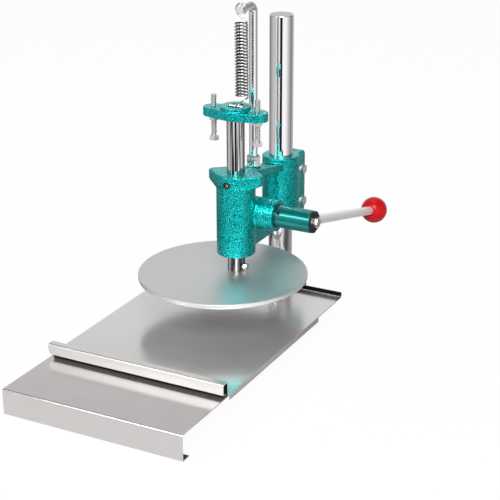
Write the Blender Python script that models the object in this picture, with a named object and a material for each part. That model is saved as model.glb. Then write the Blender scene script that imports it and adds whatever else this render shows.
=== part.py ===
"""Hand press for flattening pizza dough, as an assembly of separate pieces.

Metres, +Z up. The origin lies on the bench, on the axis of the press ram.
+X is the lever's side, +Y runs back along the tray to the column.
At rest the ram is up, the lever points back and the tray is pulled forward.
"""
import math

import bmesh
import bpy
from mathutils import Matrix, Vector

# Fits and shared margins
SEAT_GAP = 0.0003
OVERRUN = 0.004
EDGE_BREAK = 0.001
SMALL_BREAK = 0.0005

# Sides of round pieces, by size
LARGE_SIDES = 40
MEDIUM_SIDES = 28
SMALL_SIDES = 16
BEND_STEPS = 3

# Press plate
PLATE_DIAMETER = 0.240
PLATE_THICKNESS = 0.0065
PLATE_TOP = 0.096
PLATE_OFFSET_X = -0.0125
PLATE_OFFSET_Y = -0.017
PLATE_EDGE_ROUND = 0.0015
SPIGOT_DIAMETER = 0.012
SPIGOT_HEIGHT = 0.016

# Base sheet, its carrying tube and its feet
BASE_WIDTH = 0.264
BASE_HEIGHT = 0.0365
BASE_SHEET = 0.0015
BASE_FRONT = 0.364
BASE_REAR = 0.086
BASE_RETURN = 0.016
BASE_TAB_WIDTH = 0.110
BASE_BEND = 0.0025
TUBE_WIDTH = 0.060
TUBE_WALL = 0.003
TUBE_FRONT = 0.345
TUBE_REAR = 0.172
FOOT_REACH = 0.050
FOOT_LENGTH = 0.032
FOOT_THICKNESS = 0.008
FOOT_CORNER = 0.008

# Column and its fixing
COLUMN_DIAMETER = 0.035
COLUMN_Y = 0.141
COLUMN_TOP = 0.4345
BLOCK_HEIGHT = 0.010
BLOCK_LENGTH = 0.052
FOOT_BOLT_DIAMETER = 0.010
FOOT_BOLT_HEAD = 0.018
FOOT_BOLT_LENGTH = 0.032

# Sliding tray
TRAY_SHEET = 0.0012
TRAY_FRONT = 0.261
TRAY_REAR = 0.0985
LIP_HEIGHT = 0.0187
LIP_DEPTH = 0.0125
LIP_FLAP = 0.0161
LIP_RETURN = 0.0042
LIP_BEND = 0.0022
REAR_LIP_HEIGHT = 0.0075
REAR_LIP_CORNER = 0.004
FLANGE_DROP = 0.0068
FLANGE_FRONT = 0.247
FLANGE_REAR = 0.019
FLANGE_CORNER = 0.004

# Body casting
FLANGE_TOP = 0.2405
HOUSING_BOTTOM = 0.122
HOUSING_DIAMETER = 0.055
EAR_SPACING = 0.0674
EAR_RADIUS = 0.008
EAR_THICKNESS = 0.0135
EAR_TAPER = 0.008
FLANGE_RADIUS = 0.0283
CLAMP_DIAMETER = 0.055
CLAMP_TOP = 0.2265
CLAMP_SLOT = 0.003
CLAMP_EAR_WIDTH = 0.028
CLAMP_EAR_REACH = 0.055
CLAMP_EAR_TOP = 0.2213
CLAMP_EAR_BOTTOM_CORNER = 0.006
CLAMP_EAR_TOP_CORNER = 0.008
WEB_WIDTH = 0.030
WEB_TOP = 0.163
WEB_EDGE = 0.003
ARM_WIDTH = 0.030
ARM_FRONT_TOP = 0.2365
ARM_REAR_TOP = 0.2175
ARM_REAR_THICKNESS = 0.0085
ARM_HAUNCH_Y = 0.052
ARM_HAUNCH_Z = 0.2205
ARM_NOSE_THICKNESS = 0.005
POST_BOSS_DIAMETER = 0.022
POST_BOSS_TOP = 0.2346
PINION_BOSS_DIAMETER = 0.045
PINION_BOSS_END = 0.055
PINION_BOSS_BACK = 0.029

# Rack and pinion
RAM_DIAMETER = 0.025
RAM_TOP = 0.325
RAM_SOCKET_DEPTH = 0.018
GEAR_MODULE = 0.0015
GEAR_TEETH = 20
GEAR_WIDTH = 0.018
PRESSURE_ANGLE = math.radians(20.0)
TOOTH_BACKLASH = 0.0004
DEDENDUM_SHARE = 1.25
FLANK_STEPS = 5
STROKE = 0.0425
PINION_Y = 0.022
PINION_Z = 0.178
RACK_SPARE_TEETH = 2
RACK_RUNOUT = 0.004
SHAFT_DIAMETER = 0.020
JOURNAL_DIAMETER = 0.016
SHAFT_END = 0.088
CHAMBER_GAP = 0.0009
BUSH_RUNNING_GAP = 0.0003
LEFT_BUSH_WALL = 0.003
PLUG_THICKNESS = 0.003

# Lever
HUB_DIAMETER = 0.032
HUB_START = 0.056
HUB_END = 0.109
HUB_EDGE = 0.0012
LEVER_X = 0.100
LEVER_LENGTH = 0.250
LEVER_DROP = math.radians(14.4)
LEVER_ROOT_DIAMETER = 0.014
LEVER_TIP_DIAMETER = 0.0125
LEVER_ROOT = 0.0065
LEVER_NECK_DIAMETER = 0.010
LEVER_NECK = 0.015
BALL_DIAMETER = 0.040
BALL_FLAT_DIAMETER = 0.016
WASHER_DIAMETER = 0.031
WASHER_THICKNESS = 0.0025
HUB_BOLT_DIAMETER = 0.008
HUB_BOLT_FLATS = 0.013
HUB_BOLT_HEAD = 0.0055
HUB_BOLT_REACH = 0.040
GRUB_DIAMETER = 0.006
GRUB_X = 0.061
GRUB_ANGLE = math.radians(143.0)

# Crossplate with its stop bolts
CROSS_HALF_WIDTH = 0.0222
CROSS_END_RADIUS = 0.0148
CROSS_BOTTOM = 0.319
CROSS_THICKNESS = 0.012
CROSS_BOSS_DIAMETER = 0.042
CROSS_BOSS_BORE = 0.024
CROSS_BOSS_HEIGHT = 0.005
STOP_SCREW_LENGTH = 0.065
STOP_SCREW_DIAMETER = 0.008
STOP_SCREW_FLATS = 0.013
STOP_SCREW_HEAD = 0.0053
STOP_NUT_HEIGHT = 0.0065
HOOK_PIN_DIAMETER = 0.005
HOOK_PIN_Y = 0.0045
HOOK_PIN_Z = 0.3335

# Screws in the casting, the plate and the crossplate
GUIDE_SCREW_DIAMETER = 0.010
GUIDE_SCREW_Z = 0.2285
GUIDE_SCREW_PROUD = 0.0008
PLATE_SCREW_DIAMETER = 0.006
PLATE_SCREW_FLATS = 0.009
PLATE_SCREW_HEAD = 0.005
PLATE_SCREW_RISE = 0.0057
TOP_SCREW_DIAMETER = 0.006
SOCKET_SHARE = 0.5
SOCKET_DEPTH = 0.004
CLAMP_BOLT_DIAMETER = 0.008
CLAMP_BOLT_FLATS = 0.013
CLAMP_BOLT_HEAD = 0.0053
CLAMP_NUT_HEIGHT = 0.0065
CLAMP_WASHER_DIAMETER = 0.016
CLAMP_WASHER_THICKNESS = 0.001
CLAMP_BOLT_Y = 0.1815
CLAMP_BOLT_HEIGHTS = (0.144, 0.194)

# Spring post and return spring
POST_DIAMETER = 0.012
POST_Y = 0.053
POST_ARM_Z = 0.4650
POST_ARM_END = 0.013
POST_BEND = 0.010
POST_BOTTOM = 0.2215
POST_NUT_FLATS = 0.0185
POST_NUT_HEIGHT = 0.010
POST_JAM_HEIGHT = 0.004
SPRING_DIAMETER = 0.0195
SPRING_WIRE = 0.0022
SPRING_PITCH = 0.104 / 24
SPRING_TOP_LEAD = 0.0175
SPRING_TOP_Y = 0.0175
SPRING_BOTTOM_LEAD = 0.010
SPRING_BOTTOM_Y = 0.0195
POINTS_A_TURN = 9

# Values that follow from those above
TRAY_BOTTOM = BASE_HEIGHT + SEAT_GAP
TRAY_TOP = TRAY_BOTTOM + TRAY_SHEET
RAM_RADIUS = RAM_DIAMETER / 2
RAM_BOTTOM = PLATE_TOP + SEAT_GAP
RAM_BORE = RAM_RADIUS + SEAT_GAP
COLUMN_RADIUS = COLUMN_DIAMETER / 2
COLUMN_BORE = COLUMN_RADIUS + SEAT_GAP
EAR_X = EAR_SPACING / 2
PITCH_RADIUS = GEAR_MODULE * GEAR_TEETH / 2
TIP_RADIUS = PITCH_RADIUS + GEAR_MODULE
RACK_PITCH_Y = PINION_Y - PITCH_RADIUS
TOOTH_PITCH = math.pi * GEAR_MODULE
CHAMBER_RADIUS = TIP_RADIUS + CHAMBER_GAP
HEAD_BOTTOM = FLANGE_TOP + STROKE + SEAT_GAP
CROSS_TOP = CROSS_BOTTOM + CROSS_THICKNESS
BOSS_TOP = CROSS_TOP + CROSS_BOSS_HEIGHT
POST_RADIUS = POST_DIAMETER / 2
WIRE_RADIUS = SPRING_WIRE / 2
COIL_RADIUS = (SPRING_DIAMETER - SPRING_WIRE) / 2
SPRING_TOP_Z = POST_ARM_Z - SPRING_TOP_LEAD
SPRING_BOTTOM_Z = HOOK_PIN_Z + SPRING_BOTTOM_LEAD
SPRING_TURNS = round((SPRING_TOP_Z - SPRING_BOTTOM_Z) / SPRING_PITCH)

LEVER_DIRECTION = Vector((0, math.cos(LEVER_DROP), -math.sin(LEVER_DROP)))


def clear_scene():
    """Remove every object that the file opened with."""
    for old in list(bpy.data.objects):
        bpy.data.objects.remove(old, do_unlink=True)


def material(name, colour, roughness, metallic):
    """A plain Principled material."""
    made = bpy.data.materials.new(name)
    made.use_nodes = True
    shader = made.node_tree.nodes["Principled BSDF"]
    shader.inputs["Base Color"].default_value = (*colour, 1.0)
    shader.inputs["Roughness"].default_value = roughness
    shader.inputs["Metallic"].default_value = metallic
    return made


def joint_empty(name, location):
    """An empty on a joint's axis, which carries the pieces that move there."""
    empty = bpy.data.objects.new(name, None)
    empty.location = location
    bpy.context.scene.collection.objects.link(empty)
    return empty


def mapped(u, v, w, axis):
    """A point of an outline (u, v) at height w along the axis."""
    if axis == "X":
        return Vector((w, u, v))
    if axis == "Y":
        return Vector((u, w, v))
    return Vector((u, v, w))


def finish(name, shape, carrier=None, finish_material=None):
    """Turn a bmesh in world coordinates into an object on its carrier."""
    quads = [face for face in shape.faces if len(face.verts) == 4]
    bmesh.ops.connect_verts_nonplanar(shape, angle_limit=math.radians(0.1), faces=quads)
    bmesh.ops.recalc_face_normals(shape, faces=shape.faces)
    mesh = bpy.data.meshes.new(name)
    if carrier is not None:
        shape.transform(Matrix.Translation(-carrier.location))
    shape.to_mesh(mesh)
    shape.free()
    made = bpy.data.objects.new(name, mesh)
    made.parent = carrier
    if finish_material is not None:
        mesh.materials.append(finish_material)
        mesh.shade_smooth()
        mesh.set_sharp_from_angle(angle=math.radians(30.0))
    bpy.context.scene.collection.objects.link(made)
    return made


def lofted(sections):
    """A closed solid through sections that hold equal numbers of points."""
    shape = bmesh.new()
    rings = [[shape.verts.new(point) for point in section] for section in sections]
    count = len(rings[0])
    for low, high in zip(rings, rings[1:]):
        for index in range(count):
            after = (index + 1) % count
            shape.faces.new((low[index], low[after], high[after], high[index]))
    shape.faces.new(reversed(rings[0]))
    shape.faces.new(rings[-1])
    return shape


def prism(outline, axis, low, high):
    """An outline extruded along an axis from low to high."""
    sections = [[mapped(u, v, w, axis) for u, v in outline] for w in (low, high)]
    return lofted(sections)


def turned(profile, centre, axis, sides):
    """A solid of revolution: profile points are (radius, place on the axis)."""
    shape = bmesh.new()
    rings = []
    for radius, place in profile:
        if radius <= 0:
            rings.append([place])
            continue
        ring = []
        for index in range(sides):
            angle = math.tau * (index + 0.5) / sides
            u = centre[0] + radius * math.cos(angle)
            v = centre[1] + radius * math.sin(angle)
            ring.append(shape.verts.new(mapped(u, v, place, axis)))
        rings.append(ring)
    pairs = list(zip(rings, rings[1:]))
    if len(rings[0]) > 1:
        pairs.append((rings[-1], rings[0]))
    for first, second in pairs:
        if len(first) == 1 or len(second) == 1:
            close_end(shape, first, second, profile, centre, axis)
            continue
        for index in range(sides):
            after = (index + 1) % sides
            shape.faces.new((first[index], first[after], second[after], second[index]))
    return shape


def close_end(shape, first, second, profile, centre, axis):
    """Close a turned end with one flat face, or with a point where it has one."""
    at_start = len(first) == 1
    ring = second if at_start else first
    place = (first if at_start else second)[0]
    beside = profile[1][1] if at_start else profile[-2][1]
    if place == beside:
        shape.faces.new(ring)
        return
    pole = shape.verts.new(mapped(centre[0], centre[1], place, axis))
    for index in range(len(ring)):
        shape.faces.new((pole, ring[index], ring[(index + 1) % len(ring)]))


def rod_profile(radius, low, high, low_break=0, high_break=0):
    """The half outline of a plain round bar with broken edges."""
    points = [(0, low)]
    if low_break > 0:
        points.append((radius - low_break, low))
    points.append((radius, low + low_break))
    points.append((radius, high - high_break))
    if high_break > 0:
        points.append((radius - high_break, high))
    points.append((0, high))
    return points


def tube_profile(outer, inner, low, high, edge=0):
    """The half outline of a tube with its outer edges broken."""
    if edge > 0:
        return [
            (inner, low), (outer - edge, low), (outer, low + edge),
            (outer, high - edge), (outer - edge, high), (inner, high),
        ]
    return [(inner, low), (outer, low), (outer, high), (inner, high)]


def arc(centre, radius, start, end, steps):
    """Points along an arc, angles in degrees."""
    points = []
    for index in range(steps + 1):
        angle = math.radians(start + (end - start) * index / steps)
        points.append((centre[0] + radius * math.cos(angle), centre[1] + radius * math.sin(angle)))
    return points


def rounded_box(low_u, low_v, high_u, high_v, radii):
    """A rectangle whose corners, from low-low anticlockwise, have the given radii."""
    corners = (
        (low_u, low_v, 1, 1, 180), (high_u, low_v, -1, 1, 270),
        (high_u, high_v, -1, -1, 0), (low_u, high_v, 1, -1, 90),
    )
    outline = []
    for (u, v, inward_u, inward_v, start), radius in zip(corners, radii):
        if radius <= 0:
            outline.append((u, v))
            continue
        centre = (u + inward_u * radius, v + inward_v * radius)
        outline += arc(centre, radius, start, start + 90, BEND_STEPS)
    return outline


def hexagon(flats, centre):
    """A hexagon by its width across flats."""
    corner = flats / math.sqrt(3)
    return [
        (centre[0] + corner * math.cos(math.radians(60 * index)),
         centre[1] + corner * math.sin(math.radians(60 * index)))
        for index in range(6)
    ]


def combine(target, name, shape, operation):
    """Add an exact Boolean of the target with a hidden body on the same carrier."""
    tool = finish(name, shape, target.parent)
    tool.hide_render = True
    tool.display_type = "WIRE"
    modifier = target.modifiers.new(name, "BOOLEAN")
    modifier.operation = operation
    modifier.solver = "EXACT"
    modifier.object = tool


def cut(target, name, shape):
    """Cut a shape out of the target."""
    combine(target, name, shape, "DIFFERENCE")


def join(target, name, shape):
    """Fuse a shape to the target."""
    combine(target, name, shape, "UNION")


def bent_sheet(path, thickness):
    """The closed outline of a sheet whose left side follows a path of corners."""
    inner = []
    for index, (u, v) in enumerate(path):
        here = Vector((u, v))
        before = here - Vector(path[index - 1]) if index > 0 else None
        after = Vector(path[index + 1]) - here if index + 1 < len(path) else None
        if before is None:
            before = after
        if after is None:
            after = before
        side_a = Vector((-before.y, before.x)).normalized()
        side_b = Vector((-after.y, after.x)).normalized()
        spread = 1 + side_a.dot(side_b)
        shift = (side_a + side_b) * (thickness / spread)
        inner.append((u + shift.x, v + shift.y))
    return list(path) + inner[::-1]


def build_base_sheet(steel):
    """One folded sheet: deck, front apron with its return, and a narrow rear tab."""
    bend = BASE_BEND
    front = -BASE_FRONT
    rear = BASE_REAR
    path = [(front + BASE_RETURN, 0)]
    path += arc((front + bend, bend), bend, 270, 180, BEND_STEPS)
    path += arc((front + bend, BASE_HEIGHT - bend), bend, 180, 90, BEND_STEPS)
    path += arc((rear - bend, BASE_HEIGHT - bend), bend, 90, 0, BEND_STEPS)
    path += arc((rear - bend, bend), bend, 0, -90, BEND_STEPS)
    path.append((rear - BASE_RETURN, 0))
    left = PLATE_OFFSET_X - BASE_WIDTH / 2
    right = PLATE_OFFSET_X + BASE_WIDTH / 2
    sheet = finish("base_sheet", prism(bent_sheet(path[::-1], BASE_SHEET), "X", left, right), None, steel)
    back = rear + OVERRUN
    inside = rear - BASE_RETURN - OVERRUN
    corner = [
        (rear - bend, BASE_HEIGHT + OVERRUN), (back, BASE_HEIGHT + OVERRUN), (back, -OVERRUN),
        (inside, -OVERRUN), (inside, BASE_HEIGHT / 2), (rear - bend, BASE_HEIGHT / 2),
    ]
    half = BASE_TAB_WIDTH / 2
    cut(sheet, "base_corner_left", prism(corner, "X", left - OVERRUN, PLATE_OFFSET_X - half))
    cut(sheet, "base_corner_right", prism(corner, "X", PLATE_OFFSET_X + half, right + OVERRUN))
    beside = TUBE_WIDTH / 2 + SEAT_GAP
    notch = rounded_box(-beside, -OVERRUN, beside, BASE_HEIGHT - BASE_SHEET - SEAT_GAP / 2, (0,) * 4)
    cut(sheet, "base_tube_notch", prism(notch, "Y", inside, back))


def build_spine_tube(steel):
    """The rectangular tube under the deck that carries the column."""
    top = BASE_HEIGHT - BASE_SHEET - SEAT_GAP
    half = TUBE_WIDTH / 2
    outline = rounded_box(-half, 0, half, top, (TUBE_WALL,) * 4)
    tube = finish("spine_tube", prism(outline, "Y", -TUBE_FRONT, TUBE_REAR), None, steel)
    inner = half - TUBE_WALL
    bore = rounded_box(-inner, TUBE_WALL, inner, top - TUBE_WALL, (0,) * 4)
    cut(tube, "tube_bore", prism(bore, "Y", -TUBE_FRONT - OVERRUN, TUBE_REAR + OVERRUN))
    hole = rod_profile(COLUMN_BORE, top - TUBE_WALL - OVERRUN, top + OVERRUN)
    cut(tube, "tube_column_hole", turned(hole, (0, COLUMN_Y), "Z", LARGE_SIDES))
    cut(tube, "tube_bolt_hole", foot_bolt_clearance(-OVERRUN, TUBE_WALL + OVERRUN))


def foot_bolt_clearance(low, high):
    """The countersunk hole for the column's foot bolt, from low to high."""
    head = FOOT_BOLT_HEAD / 2 + SEAT_GAP
    shank = FOOT_BOLT_DIAMETER / 2 + SEAT_GAP
    cone_start = SMALL_BREAK
    cone_end = cone_start + head - shank
    profile = [(0, low), (head, low), (head, cone_start)]
    if high < cone_end:
        profile += [(head - (high - cone_start), high), (0, high)]
    else:
        profile += [(shank, cone_end), (shank, high), (0, high)]
    return turned(profile, (0, COLUMN_Y), "Z", MEDIUM_SIDES)


def build_rear_feet(steel):
    """Two flat feet welded to the tube's sides below the column."""
    for side, name in ((-1, "rear_foot_left"), (1, "rear_foot_right")):
        inner = TUBE_WIDTH / 2 + SEAT_GAP
        outer = inner + FOOT_REACH
        low, high = COLUMN_Y - FOOT_LENGTH / 2, COLUMN_Y + FOOT_LENGTH / 2
        if side > 0:
            outline = rounded_box(inner, low, outer, high, (0, FOOT_CORNER, FOOT_CORNER, 0))
        else:
            outline = rounded_box(-outer, low, -inner, high, (FOOT_CORNER, 0, 0, FOOT_CORNER))
        finish(name, prism(outline, "Z", 0, FOOT_THICKNESS), None, steel)


def build_column(chrome, steel):
    """The chromed column, the block it stands on and the bolt from below."""
    block_low = TUBE_WALL + SEAT_GAP
    block_high = block_low + BLOCK_HEIGHT
    half = TUBE_WIDTH / 2 - TUBE_WALL - SEAT_GAP
    low, high = COLUMN_Y - BLOCK_LENGTH / 2, COLUMN_Y + BLOCK_LENGTH / 2
    block = finish("column_foot_block",
                   prism(rounded_box(-half, low, half, high, (0,) * 4), "Z", block_low, block_high),
                   None, steel)
    cut(block, "block_bolt_hole", foot_bolt_clearance(0, block_high + OVERRUN))
    bottom = block_high + SEAT_GAP
    column = finish("column",
                    turned(rod_profile(COLUMN_RADIUS, bottom, COLUMN_TOP, EDGE_BREAK, EDGE_BREAK),
                           (0, COLUMN_Y), "Z", LARGE_SIDES), None, chrome)
    bolt_top = SMALL_BREAK + FOOT_BOLT_LENGTH
    thread = rod_profile(FOOT_BOLT_DIAMETER / 2 + SEAT_GAP, bottom - OVERRUN, bolt_top + SEAT_GAP)
    cut(column, "column_thread", turned(thread, (0, COLUMN_Y), "Z", MEDIUM_SIDES))
    head = FOOT_BOLT_HEAD / 2
    shank = FOOT_BOLT_DIAMETER / 2
    cone_end = SMALL_BREAK + head - shank
    profile = [(0, SMALL_BREAK), (head, SMALL_BREAK), (shank, cone_end),
               (shank, bolt_top - EDGE_BREAK), (shank - EDGE_BREAK, bolt_top), (0, bolt_top)]
    finish("column_foot_bolt", turned(profile, (0, COLUMN_Y), "Z", SMALL_SIDES), None, steel)


def tray_outline():
    """The tray in section: rear lip, deck, riser, rounded top, flap and return."""
    bend = LIP_BEND
    inside = LIP_BEND - TRAY_SHEET
    top = TRAY_TOP + LIP_HEIGHT
    flap = top - LIP_FLAP
    front = -TRAY_FRONT
    riser = front + LIP_DEPTH
    rear = TRAY_REAR - TRAY_SHEET
    path = [(rear, TRAY_TOP + REAR_LIP_HEIGHT)]
    path += arc((rear - inside, TRAY_TOP + inside), inside, 360, 270, BEND_STEPS)
    path += arc((riser + inside, TRAY_TOP + inside), inside, 270, 180, BEND_STEPS)
    path += arc((riser - bend, top - bend), bend, 0, 90, BEND_STEPS)
    path += arc((front + bend, top - bend), bend, 90, 180, BEND_STEPS)
    path += arc((front + bend, flap + bend), bend, 180, 270, BEND_STEPS)
    path.append((front + LIP_RETURN + bend, flap))
    return bent_sheet(path, TRAY_SHEET)


def outer_corner(u, v, radius, side_u, side_v):
    """The sliver that rounds a plate's corner off when it is cut away."""
    out_u = u + side_u * OVERRUN
    out_v = v + side_v * OVERRUN
    centre = (u - side_u * radius, v - side_v * radius)
    points = [(out_u, centre[1]), (out_u, out_v), (centre[0], out_v)]
    for index in range(BEND_STEPS + 1):
        angle = math.pi / 2 * (1 - index / BEND_STEPS)
        points.append((centre[0] + side_u * radius * math.cos(angle),
                       centre[1] + side_v * radius * math.sin(angle)))
    return points


def build_tray(steel, slide):
    """The sliding sheet: hooked front lip, low rear lip and side flanges."""
    centre = PLATE_OFFSET_X
    half = BASE_WIDTH / 2 + SEAT_GAP + TRAY_SHEET
    tray = finish("tray", prism(tray_outline(), "X", centre - half, centre + half), slide, steel)
    lip_half = BASE_WIDTH / 2
    front = -TRAY_FRONT - OVERRUN
    riser = -TRAY_FRONT + LIP_DEPTH + LIP_BEND - TRAY_SHEET
    flange_top = TRAY_BOTTOM + TRAY_SHEET / 2
    lip_top = TRAY_TOP + REAR_LIP_HEIGHT
    for side, word in ((-1, "left"), (1, "right")):
        outer = centre + side * half
        inner = outer - side * TRAY_SHEET
        corner = FLANGE_CORNER
        outline = rounded_box(-FLANGE_FRONT, TRAY_BOTTOM - FLANGE_DROP, FLANGE_REAR, flange_top,
                              (corner, corner, 0, 0))
        join(tray, f"tray_flange_{word}", prism(outline, "X", min(outer, inner), max(outer, inner)))
        beyond = outer + side * OVERRUN
        start = centre + side * lip_half
        notch = rounded_box(front, TRAY_BOTTOM - OVERRUN, riser, TRAY_TOP + LIP_HEIGHT + OVERRUN, (0,) * 4)
        cut(tray, f"tray_lip_end_{word}", prism(notch, "X", min(start, beyond), max(start, beyond)))
        sliver = outer_corner(outer, lip_top, REAR_LIP_CORNER, side, 1)
        cut(tray, f"tray_rear_corner_{word}",
            prism(sliver, "Y", TRAY_REAR - TRAY_SHEET - EDGE_BREAK / 2, TRAY_REAR + OVERRUN))


def lobed_outline(middle, end):
    """A plate's outline: a round middle drawn out straight to two round ends."""
    lean = math.degrees(math.acos((middle - end) / EAR_X))
    points = arc((EAR_X, 0), end, -lean, lean, 8)
    points += arc((0, 0), middle, lean, 180 - lean, 8)
    points += arc((-EAR_X, 0), end, 180 - lean, 180 + lean, 8)
    points += arc((0, 0), middle, 180 + lean, 360 - lean, 8)
    return points


def drawn_in(points, limit):
    """The same points, none further than the limit from the middle."""
    result = []
    for u, v in points:
        reach = math.hypot(u, v)
        share = min(1, limit / reach)
        result.append((u * share, v * share))
    return result


def build_casting(paint, head):
    """The cast body: ram housing, column clamp, web, arm and pinion housing."""
    radius = HOUSING_DIAMETER / 2
    profile = rod_profile(radius, HOUSING_BOTTOM, FLANGE_TOP - EAR_THICKNESS, EDGE_BREAK, 0)
    casting = finish("body_casting", turned(profile, (0, 0), "Z", LARGE_SIDES), head, paint)
    outline = lobed_outline(FLANGE_RADIUS, EAR_RADIUS)
    ear_low = FLANGE_TOP - EAR_THICKNESS
    edge = [(u * (1 - EDGE_BREAK / FLANGE_RADIUS), v * (1 - EDGE_BREAK / FLANGE_RADIUS)) for u, v in outline]
    sections = [
        [mapped(u, v, ear_low - EAR_TAPER, "Z") for u, v in drawn_in(outline, radius - SMALL_BREAK)],
        [mapped(u, v, ear_low, "Z") for u, v in outline],
        [mapped(u, v, FLANGE_TOP - EDGE_BREAK, "Z") for u, v in outline],
        [mapped(u, v, FLANGE_TOP, "Z") for u, v in edge],
    ]
    join(casting, "casting_flange", lofted(sections))
    clamp = rod_profile(CLAMP_DIAMETER / 2, HOUSING_BOTTOM, CLAMP_TOP, EDGE_BREAK, EDGE_BREAK)
    join(casting, "casting_clamp", turned(clamp, (0, COLUMN_Y), "Z", LARGE_SIDES))
    join(casting, "casting_web", web_shape())
    join(casting, "casting_arm", arm_shape())
    ears = rounded_box(COLUMN_Y + COLUMN_BORE, HOUSING_BOTTOM, COLUMN_Y + CLAMP_EAR_REACH, CLAMP_EAR_TOP,
                       (0, CLAMP_EAR_BOTTOM_CORNER, CLAMP_EAR_TOP_CORNER, 0))
    join(casting, "casting_ears", prism(ears, "X", -CLAMP_EAR_WIDTH / 2, CLAMP_EAR_WIDTH / 2))
    post_boss = rod_profile(POST_BOSS_DIAMETER / 2, POST_BOSS_TOP - ARM_REAR_THICKNESS, POST_BOSS_TOP)
    join(casting, "casting_post_boss", turned(post_boss, (0, POST_Y), "Z", MEDIUM_SIDES))
    pinion = rod_profile(PINION_BOSS_DIAMETER / 2, -PINION_BOSS_BACK, PINION_BOSS_END,
                         EDGE_BREAK, EDGE_BREAK)
    join(casting, "casting_pinion_boss", turned(pinion, (PINION_Y, PINION_Z), "X", LARGE_SIDES))
    cut_casting(casting)


def web_shape():
    """The web between ram housing and clamp, with its lower edges bevelled."""
    half = WEB_WIDTH / 2
    edge = WEB_EDGE
    outline = [
        (half - edge, HOUSING_BOTTOM), (half, HOUSING_BOTTOM + edge), (half, WEB_TOP),
        (-half, WEB_TOP), (-half, HOUSING_BOTTOM + edge), (edge - half, HOUSING_BOTTOM),
    ]
    start = RAM_BORE + EDGE_BREAK
    return prism(outline, "Y", start, COLUMN_Y - COLUMN_BORE)


def arm_shape():
    """The arm that drops from the flange to the clamp, over the open window."""
    half = ARM_WIDTH / 2
    start = RAM_BORE + EDGE_BREAK
    nose = HOUSING_DIAMETER / 2 + EDGE_BREAK
    end = COLUMN_Y - COLUMN_BORE - EDGE_BREAK
    outline = [
        (start, ARM_FRONT_TOP - ARM_NOSE_THICKNESS), (nose, ARM_FRONT_TOP - ARM_NOSE_THICKNESS),
        (ARM_HAUNCH_Y, ARM_HAUNCH_Z), (end, ARM_REAR_TOP - ARM_REAR_THICKNESS),
        (end, ARM_REAR_TOP), (nose, ARM_FRONT_TOP), (start, ARM_FRONT_TOP),
    ]
    return prism(outline, "X", -half, half)


def cut_casting(casting):
    """Bores, slot and screw holes of the casting."""
    low, high = HOUSING_BOTTOM - OVERRUN, FLANGE_TOP + OVERRUN
    cut(casting, "ram_bore", turned(rod_profile(RAM_BORE, low, high), (0, 0), "Z", LARGE_SIDES))
    cut(casting, "column_bore",
        turned(rod_profile(COLUMN_BORE, low, high), (0, COLUMN_Y), "Z", LARGE_SIDES))
    half = CLAMP_SLOT / 2
    rear = COLUMN_Y + CLAMP_EAR_REACH + OVERRUN
    slot = rounded_box(-half, COLUMN_Y, half, rear, (0,) * 4)
    cut(casting, "clamp_slot", prism(slot, "Z", low, high))
    wall = GEAR_WIDTH / 2 + SEAT_GAP
    chamber = rod_profile(CHAMBER_RADIUS, -wall, PINION_BOSS_END + OVERRUN)
    cut(casting, "pinion_chamber", turned(chamber, (PINION_Y, PINION_Z), "X", LARGE_SIDES))
    left = rod_profile(left_bush_outer() + SEAT_GAP, -PINION_BOSS_BACK - OVERRUN, 0)
    cut(casting, "left_bore", turned(left, (PINION_Y, PINION_Z), "X", MEDIUM_SIDES))
    screw = rod_profile(GUIDE_SCREW_DIAMETER / 2 + SEAT_GAP, -HOUSING_DIAMETER, 0)
    cut(casting, "guide_screw_hole", turned(screw, (0, GUIDE_SCREW_Z), "Y", SMALL_SIDES))
    post = rod_profile(POST_RADIUS + SEAT_GAP, POST_BOTTOM - OVERRUN * 2, FLANGE_TOP)
    cut(casting, "post_hole", turned(post, (0, POST_Y), "Z", SMALL_SIDES))
    for index, height in enumerate(CLAMP_BOLT_HEIGHTS):
        reach = CLAMP_EAR_WIDTH / 2 + OVERRUN
        hole = rod_profile(CLAMP_BOLT_DIAMETER / 2 + SEAT_GAP, -reach, reach)
        cut(casting, f"clamp_hole_{index}", turned(hole, (CLAMP_BOLT_Y, height), "X", SMALL_SIDES))


def left_bush_outer():
    """Outer radius of the left bush."""
    return JOURNAL_DIAMETER / 2 + BUSH_RUNNING_GAP + LEFT_BUSH_WALL


def build_pinion_bearings(bronze, steel, head):
    """The two bushes that carry the pinion shaft, and the plug at the left."""
    centre = (PINION_Y, PINION_Z)
    inner = SHAFT_DIAMETER / 2 + BUSH_RUNNING_GAP
    start = GEAR_WIDTH / 2 + SEAT_GAP
    right = tube_profile(CHAMBER_RADIUS - SEAT_GAP, inner, start, PINION_BOSS_END, SMALL_BREAK)
    bush = finish("right_bush", turned(right, centre, "X", MEDIUM_SIDES), head, bronze)
    relief = rod_profile(RAM_BORE, HOUSING_BOTTOM, FLANGE_TOP)
    cut(bush, "bush_ram_relief", turned(relief, (0, 0), "Z", LARGE_SIDES))
    plug_inner = -PINION_BOSS_BACK + PLUG_THICKNESS
    left = tube_profile(left_bush_outer(), JOURNAL_DIAMETER / 2 + BUSH_RUNNING_GAP,
                        plug_inner + SEAT_GAP, -start, SMALL_BREAK)
    finish("left_bush", turned(left, centre, "X", MEDIUM_SIDES), head, bronze)
    plug = rod_profile(left_bush_outer(), -PINION_BOSS_BACK, plug_inner, SMALL_BREAK, 0)
    finish("shaft_plug", turned(plug, centre, "X", MEDIUM_SIDES), head, steel)


def involute(angle):
    """The involute function of a pressure angle."""
    return math.tan(angle) - angle


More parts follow.
